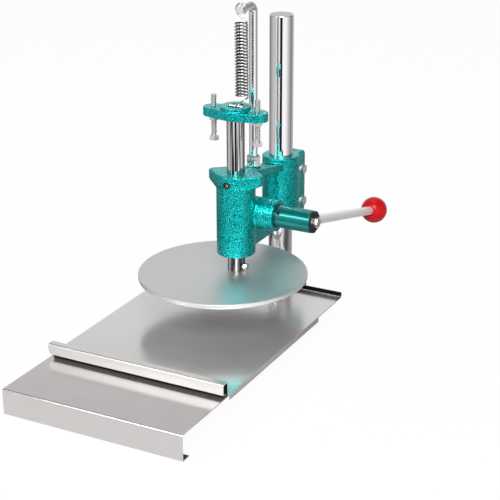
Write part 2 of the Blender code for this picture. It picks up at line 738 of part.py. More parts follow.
def gear_outline():
    """The pinion's outline as (angle, radius) pairs, one tooth at a time."""
    base = PITCH_RADIUS * math.cos(PRESSURE_ANGLE)
    root = PITCH_RADIUS - DEDENDUM_SHARE * GEAR_MODULE
    half_tooth = (math.pi / 2 - TOOTH_BACKLASH / GEAR_MODULE / 2) / GEAR_TEETH
    points = []
    for tooth in range(GEAR_TEETH):
        middle = math.pi + math.tau * tooth / GEAR_TEETH
        flank = []
        for step in range(FLANK_STEPS):
            radius = base + (TIP_RADIUS - base) * step / (FLANK_STEPS - 1)
            turn = involute(PRESSURE_ANGLE) - involute(math.acos(min(1, base / radius)))
            flank.append((half_tooth + turn, radius))
        points.append((middle - flank[0][0], root))
        points += [(middle - angle, radius) for angle, radius in flank]
        points += [(middle + angle, radius) for angle, radius in reversed(flank)]
        points.append((middle + flank[0][0], root))
    return points


def build_pinion(steel, lever):
    """Gear and shaft in one piece, drilled for the hub's bolt."""
    centre = (PINION_Y, PINION_Z)
    outline = [
        (centre[0] + radius * math.cos(angle), centre[1] + radius * math.sin(angle))
        for angle, radius in gear_outline()
    ]
    half = GEAR_WIDTH / 2
    gear = finish("pinion_shaft", prism(outline, "X", -half, half), lever, steel)
    journal = JOURNAL_DIAMETER / 2
    shaft = SHAFT_DIAMETER / 2
    left_end = -PINION_BOSS_BACK + PLUG_THICKNESS + SEAT_GAP * 2
    profile = [(0, left_end), (journal - SMALL_BREAK, left_end), (journal, left_end + SMALL_BREAK),
               (journal, 0), (shaft, 0), (shaft, SHAFT_END - SMALL_BREAK),
               (shaft - SMALL_BREAK, SHAFT_END), (0, SHAFT_END)]
    join(gear, "pinion_bar", turned(profile, centre, "X", MEDIUM_SIDES))
    bolt_end = HUB_END + WASHER_THICKNESS + SEAT_GAP - HUB_BOLT_REACH
    thread = rod_profile(HUB_BOLT_DIAMETER / 2 + SEAT_GAP, bolt_end - SEAT_GAP, SHAFT_END + OVERRUN)
    cut(gear, "shaft_thread", turned(thread, centre, "X", SMALL_SIDES))


def build_hub(paint, black, steel, lever):
    """The lever's hub, its grub screw, and the washer and bolt that hold it."""
    centre = (PINION_Y, PINION_Z)
    radius = HUB_DIAMETER / 2
    hub = finish("lever_hub",
                 turned(rod_profile(radius, HUB_START, HUB_END, HUB_EDGE, HUB_EDGE),
                        centre, "X", LARGE_SIDES), lever, paint)
    bore = rod_profile(SHAFT_DIAMETER / 2 + SEAT_GAP, HUB_START - OVERRUN, SHAFT_END + SEAT_GAP)
    cut(hub, "hub_bore", turned(bore, centre, "X", MEDIUM_SIDES))
    hole = rod_profile(HUB_BOLT_DIAMETER / 2 + SEAT_GAP, SHAFT_END - OVERRUN, HUB_END + OVERRUN)
    cut(hub, "hub_bolt_hole", turned(hole, centre, "X", SMALL_SIDES))
    socket = rod_profile(LEVER_ROOT_DIAMETER / 2 + SEAT_GAP, LEVER_ROOT - SEAT_GAP, HUB_DIAMETER)
    cut(hub, "hub_lever_hole", on_spoke(socket, LEVER_X, -LEVER_DROP, SMALL_SIDES))
    grub_hole = rod_profile(GRUB_DIAMETER / 2 + SEAT_GAP, 0, HUB_DIAMETER)
    cut(hub, "hub_grub_hole", on_spoke(grub_hole, GRUB_X, GRUB_ANGLE, SMALL_SIDES))
    inner = SHAFT_DIAMETER / 2 + SEAT_GAP
    outer = radius - EDGE_BREAK
    grub = finish("hub_grub_screw",
                  on_spoke(rod_profile(GRUB_DIAMETER / 2, inner, outer), GRUB_X, GRUB_ANGLE, SMALL_SIDES),
                  lever, black)
    hex_key = turned_hexagon(GRUB_DIAMETER * SOCKET_SHARE, outer - (outer - inner) / 2, HUB_DIAMETER)
    cut(grub, "grub_socket", spoke_placed(hex_key, GRUB_X, GRUB_ANGLE))
    face = HUB_END + SEAT_GAP
    washer = tube_profile(WASHER_DIAMETER / 2, HUB_BOLT_DIAMETER / 2 + SEAT_GAP,
                          face, face + WASHER_THICKNESS, SMALL_BREAK)
    finish("hub_washer", turned(washer, centre, "X", MEDIUM_SIDES), lever, black)
    seat = face + WASHER_THICKNESS + SEAT_GAP
    head = prism(hexagon(HUB_BOLT_FLATS, centre), "X", seat, seat + HUB_BOLT_HEAD)
    bolt = finish("hub_bolt", head, lever, steel)
    end = HUB_END + WASHER_THICKNESS + SEAT_GAP - HUB_BOLT_REACH + SEAT_GAP
    shank = rod_profile(HUB_BOLT_DIAMETER / 2, end, seat + SMALL_BREAK, SMALL_BREAK, 0)
    join(bolt, "hub_bolt_shank", turned(shank, centre, "X", SMALL_SIDES))


def turned_hexagon(flats, low, high):
    """A hexagonal bar along Z about the origin."""
    return prism(hexagon(flats, (0, 0)), "Z", low, high)


def spoke_placed(shape, place, angle):
    """Lay a shape made along Z out from the pinion's axis, at an angle from +Y."""
    turn = Matrix.Rotation(angle - math.pi / 2, 4, "X")
    shape.transform(Matrix.Translation((place, PINION_Y, PINION_Z)) @ turn)
    return shape


def on_spoke(profile, place, angle, sides):
    """A turned piece that points out from the pinion's axis."""
    return spoke_placed(turned(profile, (0, 0), "Z", sides), place, angle)


def build_lever(grey, red, lever):
    """The tapered lever rod and its ball knob."""
    ball_radius = BALL_DIAMETER / 2
    flat = math.sqrt(ball_radius ** 2 - (BALL_FLAT_DIAMETER / 2) ** 2)
    shoulder = LEVER_LENGTH - flat - SEAT_GAP
    neck = LEVER_NECK_DIAMETER / 2
    tip = shoulder + LEVER_NECK
    profile = [
        (0, LEVER_ROOT), (LEVER_ROOT_DIAMETER / 2 - EDGE_BREAK, LEVER_ROOT),
        (LEVER_ROOT_DIAMETER / 2, LEVER_ROOT + EDGE_BREAK),
        (LEVER_TIP_DIAMETER / 2, shoulder - EDGE_BREAK),
        (LEVER_TIP_DIAMETER / 2 - EDGE_BREAK, shoulder),
        (neck, shoulder), (neck, tip), (0, tip),
    ]
    finish("lever_rod", on_spoke(profile, LEVER_X, -LEVER_DROP, MEDIUM_SIDES), lever, grey)
    bore = neck + SEAT_GAP
    steps = LARGE_SIDES // 4
    start = math.degrees(math.atan2(BALL_FLAT_DIAMETER / 2, -flat))
    outline = [(ball_radius * math.sin(math.radians(start * (1 - index / steps))),
                LEVER_LENGTH + ball_radius * math.cos(math.radians(start * (1 - index / steps))))
               for index in range(steps)]
    profile = [(0, tip + SEAT_GAP), (bore, tip + SEAT_GAP), (bore, LEVER_LENGTH - flat)]
    profile += outline + [(0, LEVER_LENGTH + ball_radius)]
    finish("ball_knob", on_spoke(profile, LEVER_X, -LEVER_DROP, LARGE_SIDES), lever, red)


def rack_gaps():
    """The tooth spaces of the rack as one saw-shaped cutter along X."""
    rest = PINION_Z
    first = -RACK_SPARE_TEETH
    last = math.ceil(STROKE / TOOTH_PITCH) + RACK_SPARE_TEETH
    tip = RACK_PITCH_Y + GEAR_MODULE
    root = RACK_PITCH_Y - DEDENDUM_SHARE * GEAR_MODULE
    half = TOOTH_PITCH / 4 + TOOTH_BACKLASH / 4
    at_tip = half + GEAR_MODULE * math.tan(PRESSURE_ANGLE)
    at_root = half - DEDENDUM_SHARE * GEAR_MODULE * math.tan(PRESSURE_ANGLE)
    low = rest + first * TOOTH_PITCH - at_tip - RACK_RUNOUT
    high = rest + last * TOOTH_PITCH + at_tip + RACK_RUNOUT
    outline = [(RAM_DIAMETER, low), (tip, low)]
    for index in range(first, last + 1):
        middle = rest + index * TOOTH_PITCH
        outline += [(tip, middle - at_tip), (root, middle - at_root),
                    (root, middle + at_root), (tip, middle + at_tip)]
    outline += [(tip, high), (RAM_DIAMETER, high)]
    return prism(outline, "X", -RAM_DIAMETER, RAM_DIAMETER)


def build_ram(chrome, slide):
    """The ram with its rack, foot socket and screw hole."""
    profile = rod_profile(RAM_RADIUS, RAM_BOTTOM, RAM_TOP, SMALL_BREAK, EDGE_BREAK)
    ram = finish("ram", turned(profile, (0, 0), "Z", LARGE_SIDES), slide, chrome)
    cut(ram, "rack_gaps", rack_gaps())
    socket = rod_profile(SPIGOT_DIAMETER / 2 + SEAT_GAP, RAM_BOTTOM - OVERRUN, RAM_BOTTOM + RAM_SOCKET_DEPTH)
    cut(ram, "ram_socket", turned(socket, (0, 0), "Z", SMALL_SIDES))
    screw = rod_profile(PLATE_SCREW_DIAMETER / 2 + SEAT_GAP, 0, RAM_DIAMETER)
    cut(ram, "ram_screw_hole", turned(screw, (0, PLATE_TOP + PLATE_SCREW_RISE), "X", SMALL_SIDES))


def build_plate(steel, slide):
    """The round press plate, with the spigot that the ram sits on."""
    centre = (PLATE_OFFSET_X, PLATE_OFFSET_Y)
    profile = rod_profile(PLATE_DIAMETER / 2, PLATE_TOP - PLATE_THICKNESS, PLATE_TOP,
                          PLATE_EDGE_ROUND, PLATE_EDGE_ROUND / 2)
    plate = finish("press_plate", turned(profile, centre, "Z", LARGE_SIDES * 2), slide, steel)
    spigot = rod_profile(SPIGOT_DIAMETER / 2, PLATE_TOP - PLATE_THICKNESS / 2, PLATE_TOP + SPIGOT_HEIGHT,
                         0, EDGE_BREAK)
    join(plate, "plate_spigot", turned(spigot, (0, 0), "Z", SMALL_SIDES))


def build_plate_screw(steel, slide):
    """The hexagon screw that pins the plate's spigot in the ram."""
    centre = (0, PLATE_TOP + PLATE_SCREW_RISE)
    seat = RAM_RADIUS + SEAT_GAP
    head = prism(hexagon(PLATE_SCREW_FLATS, centre), "X", seat, seat + PLATE_SCREW_HEAD)
    screw = finish("plate_screw", head, slide, steel)
    shank = rod_profile(PLATE_SCREW_DIAMETER / 2, SPIGOT_DIAMETER / 2 + SEAT_GAP, seat + SMALL_BREAK)
    join(screw, "plate_screw_shank", turned(shank, centre, "X", SMALL_SIDES))


def build_crossplate(paint, steel, black, slide):
    """The plate on the ram's top, its boss, its hook pin and its set screw."""
    outline = lobed_outline(CROSS_HALF_WIDTH, CROSS_END_RADIUS)
    edge_share = 1 - EDGE_BREAK / CROSS_HALF_WIDTH
    shrunk = [(u * edge_share, v * edge_share) for u, v in outline]
    sections = [
        [mapped(u, v, CROSS_BOTTOM, "Z") for u, v in shrunk],
        [mapped(u, v, CROSS_BOTTOM + EDGE_BREAK, "Z") for u, v in outline],
        [mapped(u, v, CROSS_TOP - EDGE_BREAK, "Z") for u, v in outline],
        [mapped(u, v, CROSS_TOP, "Z") for u, v in shrunk],
    ]
    plate = finish("crossplate", lofted(sections), slide, paint)
    boss = rod_profile(CROSS_BOSS_DIAMETER / 2, CROSS_TOP - EDGE_BREAK, BOSS_TOP, 0, EDGE_BREAK)
    join(plate, "crossplate_boss", turned(boss, (0, 0), "Z", MEDIUM_SIDES))
    bore = rod_profile(RAM_BORE, CROSS_BOTTOM - OVERRUN, CROSS_TOP - EDGE_BREAK)
    cut(plate, "crossplate_bore", turned(bore, (0, 0), "Z", LARGE_SIDES))
    mouth = rod_profile(CROSS_BOSS_BORE / 2, CROSS_BOTTOM, BOSS_TOP + OVERRUN)
    cut(plate, "crossplate_mouth", turned(mouth, (0, 0), "Z", LARGE_SIDES))
    for side in (-1, 1):
        hole = rod_profile(STOP_SCREW_DIAMETER / 2 + SEAT_GAP, CROSS_BOTTOM - OVERRUN, CROSS_TOP + OVERRUN)
        cut(plate, f"stop_hole_{side}", turned(hole, (side * EAR_X, 0), "Z", SMALL_SIDES))
    reach = CROSS_BOSS_DIAMETER / 2
    pin_hole = rod_profile(HOOK_PIN_DIAMETER / 2 + SEAT_GAP, -reach - OVERRUN, reach + OVERRUN)
    cut(plate, "hook_pin_hole", turned(pin_hole, (HOOK_PIN_Y, HOOK_PIN_Z), "X", SMALL_SIDES))
    pin_end = math.sqrt(reach ** 2 - HOOK_PIN_Y ** 2) - EDGE_BREAK
    pin = rod_profile(HOOK_PIN_DIAMETER / 2, -pin_end, pin_end, SMALL_BREAK, SMALL_BREAK)
    finish("hook_pin", turned(pin, (HOOK_PIN_Y, HOOK_PIN_Z), "X", SMALL_SIDES), slide, steel)
    screw_z = CROSS_BOTTOM + CROSS_THICKNESS / 3
    hole = rod_profile(TOP_SCREW_DIAMETER / 2 + SEAT_GAP, 0, CROSS_HALF_WIDTH + OVERRUN)
    cut(plate, "top_screw_hole", turned(hole, (0, screw_z), "Y", SMALL_SIDES))
    screw = rod_profile(TOP_SCREW_DIAMETER / 2, RAM_RADIUS + SEAT_GAP, CROSS_HALF_WIDTH - EDGE_BREAK)
    top_screw = finish("crossplate_screw", turned(screw, (0, screw_z), "Y", SMALL_SIDES), slide, black)
    socket = prism(hexagon(TOP_SCREW_DIAMETER * SOCKET_SHARE, (0, screw_z)), "Y",
                   CROSS_HALF_WIDTH - SOCKET_DEPTH, CROSS_HALF_WIDTH + OVERRUN)
    cut(top_screw, "top_screw_socket", socket)


def build_stop_screws(steel, slide):
    """Two long screws, heads down, whose heads land on the flange's ears."""
    for side, word in ((-1, "left"), (1, "right")):
        centre = (side * EAR_X, 0)
        head = prism(hexagon(STOP_SCREW_FLATS, centre), "Z", HEAD_BOTTOM, HEAD_BOTTOM + STOP_SCREW_HEAD)
        screw = finish(f"stop_screw_{word}", head, slide, steel)
        top = HEAD_BOTTOM + STOP_SCREW_HEAD + STOP_SCREW_LENGTH - STOP_SCREW_HEAD
        shank = rod_profile(STOP_SCREW_DIAMETER / 2, HEAD_BOTTOM + SMALL_BREAK, top, 0, EDGE_BREAK)
        join(screw, f"stop_shank_{word}", turned(shank, centre, "Z", SMALL_SIDES))
        nut_top = CROSS_BOTTOM - SEAT_GAP
        nut = prism(hexagon(STOP_SCREW_FLATS, centre), "Z", nut_top - STOP_NUT_HEIGHT, nut_top)
        made = finish(f"stop_nut_{word}", nut, slide, steel)
        hole = rod_profile(STOP_SCREW_DIAMETER / 2 + SEAT_GAP, CROSS_BOTTOM - STOP_SCREW_LENGTH, CROSS_TOP)
        cut(made, f"stop_nut_hole_{word}", turned(hole, centre, "Z", SMALL_SIDES))


def build_guide_screw(black, head):
    """The socket screw in the front of the housing that bears on the ram."""
    start = -HOUSING_DIAMETER / 2 - GUIDE_SCREW_PROUD
    profile = rod_profile(GUIDE_SCREW_DIAMETER / 2, start, -RAM_RADIUS - SEAT_GAP, SMALL_BREAK, SMALL_BREAK)
    screw = finish("guide_screw", turned(profile, (0, GUIDE_SCREW_Z), "Y", SMALL_SIDES), head, black)
    socket = prism(hexagon(GUIDE_SCREW_DIAMETER * SOCKET_SHARE, (0, GUIDE_SCREW_Z)), "Y",
                   start - OVERRUN, start + SOCKET_DEPTH)
    cut(screw, "guide_socket", socket)


def build_clamp_bolts(steel, head):
    """The two bolts that pinch the clamp on the column, with washers and nuts."""
    face = CLAMP_EAR_WIDTH / 2 + SEAT_GAP
    for height, word in zip(CLAMP_BOLT_HEIGHTS, ("lower", "upper")):
        centre = (CLAMP_BOLT_Y, height)
        radius = CLAMP_BOLT_DIAMETER / 2
        washer = tube_profile(CLAMP_WASHER_DIAMETER / 2, radius + SEAT_GAP,
                              face, face + CLAMP_WASHER_THICKNESS, CLAMP_WASHER_THICKNESS / 4)
        finish(f"clamp_washer_{word}", turned(washer, centre, "X", SMALL_SIDES), head, steel)
        seat = face + CLAMP_WASHER_THICKNESS + SEAT_GAP
        cap = prism(hexagon(CLAMP_BOLT_FLATS, centre), "X", seat, seat + CLAMP_BOLT_HEAD)
        bolt = finish(f"clamp_bolt_{word}", cap, head, steel)
        end = face + CLAMP_NUT_HEIGHT + EDGE_BREAK * 2
        shank = rod_profile(radius, -end, seat + SMALL_BREAK, EDGE_BREAK, 0)
        join(bolt, f"clamp_shank_{word}", turned(shank, centre, "X", SMALL_SIDES))
        nut = finish(f"clamp_nut_{word}",
                     prism(hexagon(CLAMP_BOLT_FLATS, centre), "X", -face - CLAMP_NUT_HEIGHT, -face),
                     head, steel)
        hole = rod_profile(radius + SEAT_GAP, -end - OVERRUN, 0)
        cut(nut, f"clamp_nut_hole_{word}", turned(hole, centre, "X", SMALL_SIDES))


def build_post(chrome, steel, head):
    """The bent spring post and the two nuts that lock it to the arm."""
    bend = POST_BEND
    path = [Vector((0, POST_Y, POST_BOTTOM))]
    for angle in range(0, 91, 15):
        turn = math.radians(angle)
        path.append(Vector((0, POST_Y - bend * (1 - math.cos(turn)),
                            POST_ARM_Z - bend * (1 - math.sin(turn)))))
    path.append(Vector((0, POST_ARM_END, POST_ARM_Z)))
    sections = []
    for index, point in enumerate(path):
        before = path[max(index - 1, 0)]
        after = path[min(index + 1, len(path) - 1)]
        along = (after - before).normalized()
        across = Vector((1, 0, 0))
        other = along.cross(across)
        if index == 0:
            other = Vector((0, 1, 0))
        if index == len(path) - 1:
            other = Vector((0, 0, 1))
        sections.append([
            point + POST_RADIUS * (across * math.cos(math.tau * step / SMALL_SIDES)
                                   + other * math.sin(math.tau * step / SMALL_SIDES))
            for step in range(SMALL_SIDES)
        ])
    finish("spring_post", lofted(sections), head, chrome)
    low = POST_BOSS_TOP + SEAT_GAP
    for name, height in (("post_nut", POST_NUT_HEIGHT), ("post_jam_nut", POST_JAM_HEIGHT)):
        made = finish(name, prism(hexagon(POST_NUT_FLATS, (0, POST_Y)), "Z", low, low + height), head, steel)
        hole = rod_profile(POST_RADIUS + SEAT_GAP, low - OVERRUN, low + height + OVERRUN)
        cut(made, f"{name}_hole", turned(hole, (0, POST_Y), "Z", SMALL_SIDES))
        low += height + SEAT_GAP


def smooth_run(points, steps):
    """Points on a smooth curve through the given ones, ends left out."""
    result = []
    for index in range(1, len(points) - 2):
        before, start, end, after = points[index - 1:index + 3]
        for step in range(steps):
            t = step / steps
            result.append(0.5 * (2 * start + (end - before) * t
                                 + (2 * before - 5 * start + 4 * end - after) * t ** 2
                                 + (3 * start - before - 3 * end + after) * t ** 3))
    result.append(points[-2])
    return result


def coil_point(turns):
    """A point on the coil, counted in turns from its top."""
    share = turns / SPRING_TURNS
    y = SPRING_TOP_Y + (SPRING_BOTTOM_Y - SPRING_TOP_Y) * share
    z = SPRING_TOP_Z + (SPRING_BOTTOM_Z - SPRING_TOP_Z) * share
    angle = math.tau * turns
    return Vector((COIL_RADIUS * math.cos(angle), y - COIL_RADIUS * math.sin(angle), z))


def spring_path():
    """The wire's middle line: top loop round the arm, coil, hook under the pin."""
    loop = POST_RADIUS + SEAT_GAP * 2 + WIRE_RADIUS
    top = []
    for angle in range(-50, 215, 22):
        turn = math.radians(angle)
        top.append(Vector((loop * math.cos(turn), SPRING_TOP_Y, POST_ARM_Z + loop * math.sin(turn))))
    first = coil_point(0)
    rise = top[-1].z - first.z
    lead = [
        top[-2], top[-1],
        Vector((-loop / 3, SPRING_TOP_Y, first.z + rise * 0.62)),
        Vector((loop * 0.66, SPRING_TOP_Y + WIRE_RADIUS, first.z + rise * 0.25)),
        first, coil_point(1 / POINTS_A_TURN),
    ]
    coil = [coil_point(step / POINTS_A_TURN) for step in range(SPRING_TURNS * POINTS_A_TURN + 1)]
    hook = HOOK_PIN_DIAMETER / 2 + SEAT_GAP * 2 + WIRE_RADIUS
    bottom = []
    for angle in range(0, -211, -30):
        turn = math.radians(angle)
        bottom.append(Vector((0, HOOK_PIN_Y + hook * math.cos(turn), HOOK_PIN_Z + hook * math.sin(turn))))
    last = coil[-1]
    drop = last.z - bottom[0].z
    tail = [
        coil[-2], last,
        Vector((COIL_RADIUS * 0.80, last.y - COIL_RADIUS * 0.62, last.z - drop * 0.22)),
        Vector((COIL_RADIUS * 0.25, bottom[0].y + COIL_RADIUS * 0.30, last.z - drop * 0.55)),
        bottom[0], bottom[1],
    ]
    return top[:-1] + smooth_run(lead, 4)[:-1] + coil[:-1] + smooth_run(tail, 4)[:-1] + bottom


def least_self_gap(points):
    """The smallest clear gap between stretches of the wire that aren't neighbours."""
    skip = POINTS_A_TURN // 2
    least = math.inf
    for index, point in enumerate(points):
        for other in points[index + skip:]:
            least = min(least, (point - other).length)
    return least - SPRING_WIRE


def build_spring(steel, slide):
    """The return spring, one unbroken wire with a hook at each end."""
    points = spring_path()
    print(f"return_spring least self gap: {least_self_gap(points) * 1000:.2f} mm")
    line = bpy.data.curves.new("return_spring", "CURVE")
    line.dimensions = "3D"
    line.bevel_depth = WIRE_RADIUS
    line.bevel_resolution = 1
    line.use_fill_caps = True
    wire = line.splines.new("POLY")
    wire.points.add(len(points) - 1)
    for spot, point in zip(wire.points, points):
        spot.co = (*(point - slide.location), 1)
    line.materials.append(steel)
    spring = bpy.data.objects.new("return_spring", line)
    spring.parent = slide
    bpy.context.scene.collection.objects.link(spring)


def build():
    """Make the materials, the joints' empties and every piece."""
    clear_scene()
    stainless = material("stainless", (0.52, 0.50, 0.50), 0.30, 1.0)
    chrome = material("chrome", (0.80, 0.78, 0.80), 0.12, 1.0)
    hammered = material("hammered_teal", (0.004, 0.376, 0.376), 0.35, 0.0)
    satin_teal = material("satin_teal", (0.006, 0.287, 0.262), 0.30, 0.0)
    bright_steel = material("bright_steel", (0.62, 0.61, 0.60), 0.28, 1.0)
    dark_steel = material("black_oxide", (0.03, 0.028, 0.027), 0.45, 0.6)
    painted_grey = material("tube_grey", (0.12, 0.12, 0.12), 0.5, 0.0)
    bronze = material("bronze", (0.45, 0.27, 0.10), 0.35, 1.0)
    red = material("ball_red", (0.74, 0.006, 0.015), 0.18, 0.0)

    head = joint_empty("head_slide", Vector((0, COLUMN_Y, HOUSING_BOTTOM)))
    lever = joint_empty("lever_axis", Vector((0, PINION_Y, PINION_Z)))
    ram_slide = joint_empty("ram_slide", Vector((0, 0, FLANGE_TOP)))
    tray_slide = joint_empty("tray_slide", Vector((PLATE_OFFSET_X, 0, BASE_HEIGHT)))

    build_base_sheet(stainless)
    build_spine_tube(painted_grey)
    build_rear_feet(painted_grey)
    build_column(chrome, bright_steel)
    build_tray(stainless, tray_slide)
    build_casting(hammered, head)
    build_pinion_bearings(bronze, bright_steel, head)
    build_guide_screw(dark_steel, head)
    build_clamp_bolts(bright_steel, head)
    build_post(chrome, bright_steel, head)
    build_pinion(bright_steel, lever)
    build_hub(satin_teal, dark_steel, bright_steel, lever)
    build_lever(chrome, red, lever)
    build_ram(chrome, ram_slide)
    build_plate(stainless, ram_slide)
    build_plate_screw(bright_steel, ram_slide)
    build_crossplate(hammered, bright_steel, dark_steel, ram_slide)
    build_stop_screws(bright_steel, ram_slide)
    build_spring(bright_steel, ram_slide)


build()
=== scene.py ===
"""A hand press for flattening pizza dough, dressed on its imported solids.

Metres, +Z up, the same frame as the solids. The sections follow the press as it is put together.
"""
import math

import bpy
from mathutils import Matrix, Vector


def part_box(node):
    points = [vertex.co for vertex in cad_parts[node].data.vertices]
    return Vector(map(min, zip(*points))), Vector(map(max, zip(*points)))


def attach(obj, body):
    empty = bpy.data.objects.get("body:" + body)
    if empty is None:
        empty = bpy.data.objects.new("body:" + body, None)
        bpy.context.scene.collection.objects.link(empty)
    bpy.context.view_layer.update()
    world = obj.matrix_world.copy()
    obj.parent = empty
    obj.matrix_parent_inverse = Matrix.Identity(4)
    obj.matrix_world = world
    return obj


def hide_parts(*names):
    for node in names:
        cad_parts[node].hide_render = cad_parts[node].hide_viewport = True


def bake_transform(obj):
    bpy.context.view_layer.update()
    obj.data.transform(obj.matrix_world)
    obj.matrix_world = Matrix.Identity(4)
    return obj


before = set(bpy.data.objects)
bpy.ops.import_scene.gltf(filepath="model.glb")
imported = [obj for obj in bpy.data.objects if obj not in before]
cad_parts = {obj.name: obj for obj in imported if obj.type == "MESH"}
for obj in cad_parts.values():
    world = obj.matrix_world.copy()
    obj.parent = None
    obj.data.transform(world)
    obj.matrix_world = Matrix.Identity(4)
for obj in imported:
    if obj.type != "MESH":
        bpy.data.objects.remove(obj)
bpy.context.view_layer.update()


# The carrying tube and its two feet
# A welded box tube of mild steel under the deck, with a flat foot welded to each side below the column.
# Both are powder coated dark grey, which gives a soft even sheen with a fine orange peel.


def linear(code):
    """A linear colour from an sRGB hex value."""
    parts = [int(code[place:place + 2], 16) / 255 for place in (1, 3, 5)]
    return [part / 12.92 if part <= 0.04045 else ((part + 0.055) / 1.055) ** 2.4 for part in parts] + [1.0]


def plug(node, links):
    """Bring outputs to a node's sockets; a node given for an output stands for its first live one."""
    for key, source in links.items():
        if isinstance(source, bpy.types.Node):
            source = next(output for output in source.outputs if output.enabled)
        node.id_data.links.new(source, node.inputs[key])


def add_node(material, kind, settings=None, links=None):
    """Add a node; settings name its fields or its sockets, links say what feeds its sockets."""
    made = material.node_tree.nodes.new(kind)
    for key, value in (settings or {}).items():
        if isinstance(key, str) and hasattr(made, key):
            setattr(made, key, value)
        else:
            made.inputs[key].default_value = value
    plug(made, links or {})
    return made


def new_finish(name, colour, metallic, roughness, others=None):
    """A material with its Principled shader, and the piece's own coordinates."""
    finish = bpy.data.materials.new(name)
    finish.use_nodes = True
    shader = finish.node_tree.nodes["Principled BSDF"]
    constants = {"Base Color": linear(colour), "Metallic": metallic, "Roughness": roughness}
    for socket, value in {**constants, **(others or {})}.items():
        shader.inputs[socket].default_value = value
    return finish, shader, add_node(finish, "ShaderNodeTexCoord").outputs["Object"]


def orange_peel(finish, shader, place, grain, strength, depth):
    """Raise the soft skin of sprayed paint, its swells a grain's length apart."""
    peel = add_node(finish, "ShaderNodeTexNoise", {"Scale": 1 / grain, "Detail": 2.0}, {"Vector": place})
    swell = add_node(finish, "ShaderNodeBump", {"Strength": strength, "Distance": depth}, {"Height": peel})
    plug(shader, {"Normal": swell})


def only(piece):
    """Make the piece the only one selected, and active."""
    bpy.ops.object.select_all(action="DESELECT")
    piece.select_set(True)
    bpy.context.view_layer.objects.active = piece


def settle(piece):
    """Put the piece's place, turn and scale into its mesh."""
    only(piece)
    bpy.ops.object.transform_apply(location=True, rotation=True, scale=True)
    return piece


def shape_with(piece, kind, **settings):
    """Apply one modifier to the piece."""
    only(piece)
    modifier = piece.modifiers.new(kind, kind)
    for key, value in settings.items():
        setattr(modifier, key, value)
    bpy.ops.object.modifier_apply(modifier=modifier.name)


def break_edges(piece, width, segments=2, degrees=40):
    """Round the sharp edges by a small radius."""
    shape_with(piece, "BEVEL", width=width, segments=segments, limit_method="ANGLE",
               angle_limit=math.radians(degrees))


def pick(piece, kind, test):
    """Go into edit mode with only those edges or faces selected whose middle passes the test."""
    only(piece)
    bpy.ops.object.mode_set(mode="EDIT")
    bpy.ops.mesh.select_mode(type=kind)
    bpy.ops.mesh.select_all(action="DESELECT")
    bpy.ops.object.mode_set(mode="OBJECT")
    mesh = piece.data
    for item in mesh.edges if kind == "EDGE" else mesh.polygons:
        corners = [mesh.vertices[index].co for index in item.vertices]
        item.select = bool(test(sum(corners, Vector()) / len(corners)))
    bpy.ops.object.mode_set(mode="EDIT")


def leave_edit():
    """Go back to object mode."""
    bpy.ops.object.mode_set(mode="OBJECT")


def edit(piece, kind, test, tool, **settings):
    """Use one mesh tool on the edges or faces whose middle passes the test."""
    pick(piece, kind, test)
    tool(**settings)
    leave_edit()


def round_off(piece, test, width, segments):
    """Round the edges whose middle passes the test."""
    edit(piece, "EDGE", test, bpy.ops.mesh.bevel, offset=width, segments=segments, affect="EDGES")


def near(value, target):
    """Whether two lengths agree within a hundredth of a millimetre."""
    return abs(value - target) < 1e-5


def added(name, tool, scale=(1, 1, 1), **settings):
    """Add a primitive under a name, with its place, turn and scale in its mesh."""
    bpy.ops.object.select_all(action="DESELECT")
    tool(**settings)
    piece = bpy.context.object
    piece.name = name
    piece.scale = scale
    return settle(piece)


def block(name, low, high):
    """A block between two corners."""
    low, high = Vector(low), Vector(high)
    return added(name, bpy.ops.mesh.primitive_cube_add, high - low, size=1, location=(low + high) / 2)


def bar(name, radius, start, end, sides=96, end_radius=None):
    """A round bar between two points, tapered where it has an end radius."""
    start, end = Vector(start), Vector(end)
    run = end - start
    return added(name, bpy.ops.mesh.primitive_cone_add, vertices=sides, radius1=radius,
                 radius2=radius if end_radius is None else end_radius, depth=run.length,
                 location=(start + end) / 2, rotation=run.to_track_quat("Z", "Y").to_euler())


def hole(radius, start, end, sides=48):
    """A round bar to cut a hole with."""
    return bar("hole", radius, start, end, sides)


def cut(piece, *cutters, operation="DIFFERENCE"):
    """Cut shapes out of the piece, or keep only what they share with it."""
    for cutter in cutters:
        shape_with(piece, "BOOLEAN", operation=operation, solver="EXACT", object=cutter)
        bpy.data.objects.remove(cutter, do_unlink=True)


def joined(name, *parts):
    """Several meshes as one object."""
    only(parts[0])
    for part in parts:
        part.select_set(True)
    bpy.ops.object.join()
    parts[0].name = name
    return parts[0]


def coat(piece, *finishes):
    """Give the piece more finishes, each in a slot of its own."""
    for finish in finishes:
        piece.data.materials.append(finish)


def complete(piece, finish, body, replaced, degrees=30):
    """Shade the piece so that its flats stay flat, finish it, and hang it on its body for the plain solid."""
    only(piece)
    bpy.ops.object.shade_smooth_by_angle(angle=math.radians(degrees))
    shape_with(piece, "WEIGHTED_NORMAL", keep_sharp=True)
    if finish is not None:
        piece.data.materials.clear()
        coat(piece, finish)
    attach(piece, body)
    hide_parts(replaced)


def dress(finish, *nodes):
    """Give solids that stay as they are their finish."""
    for name in nodes:
        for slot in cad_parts[name].material_slots:
            slot.material = finish


coat_grey, shader, place = new_finish("powder_coated_grey", "#56575A", 0.0, 0.5)
orange_peel(coat_grey, shader, place, 0.0011, 0.25, 0.00008)

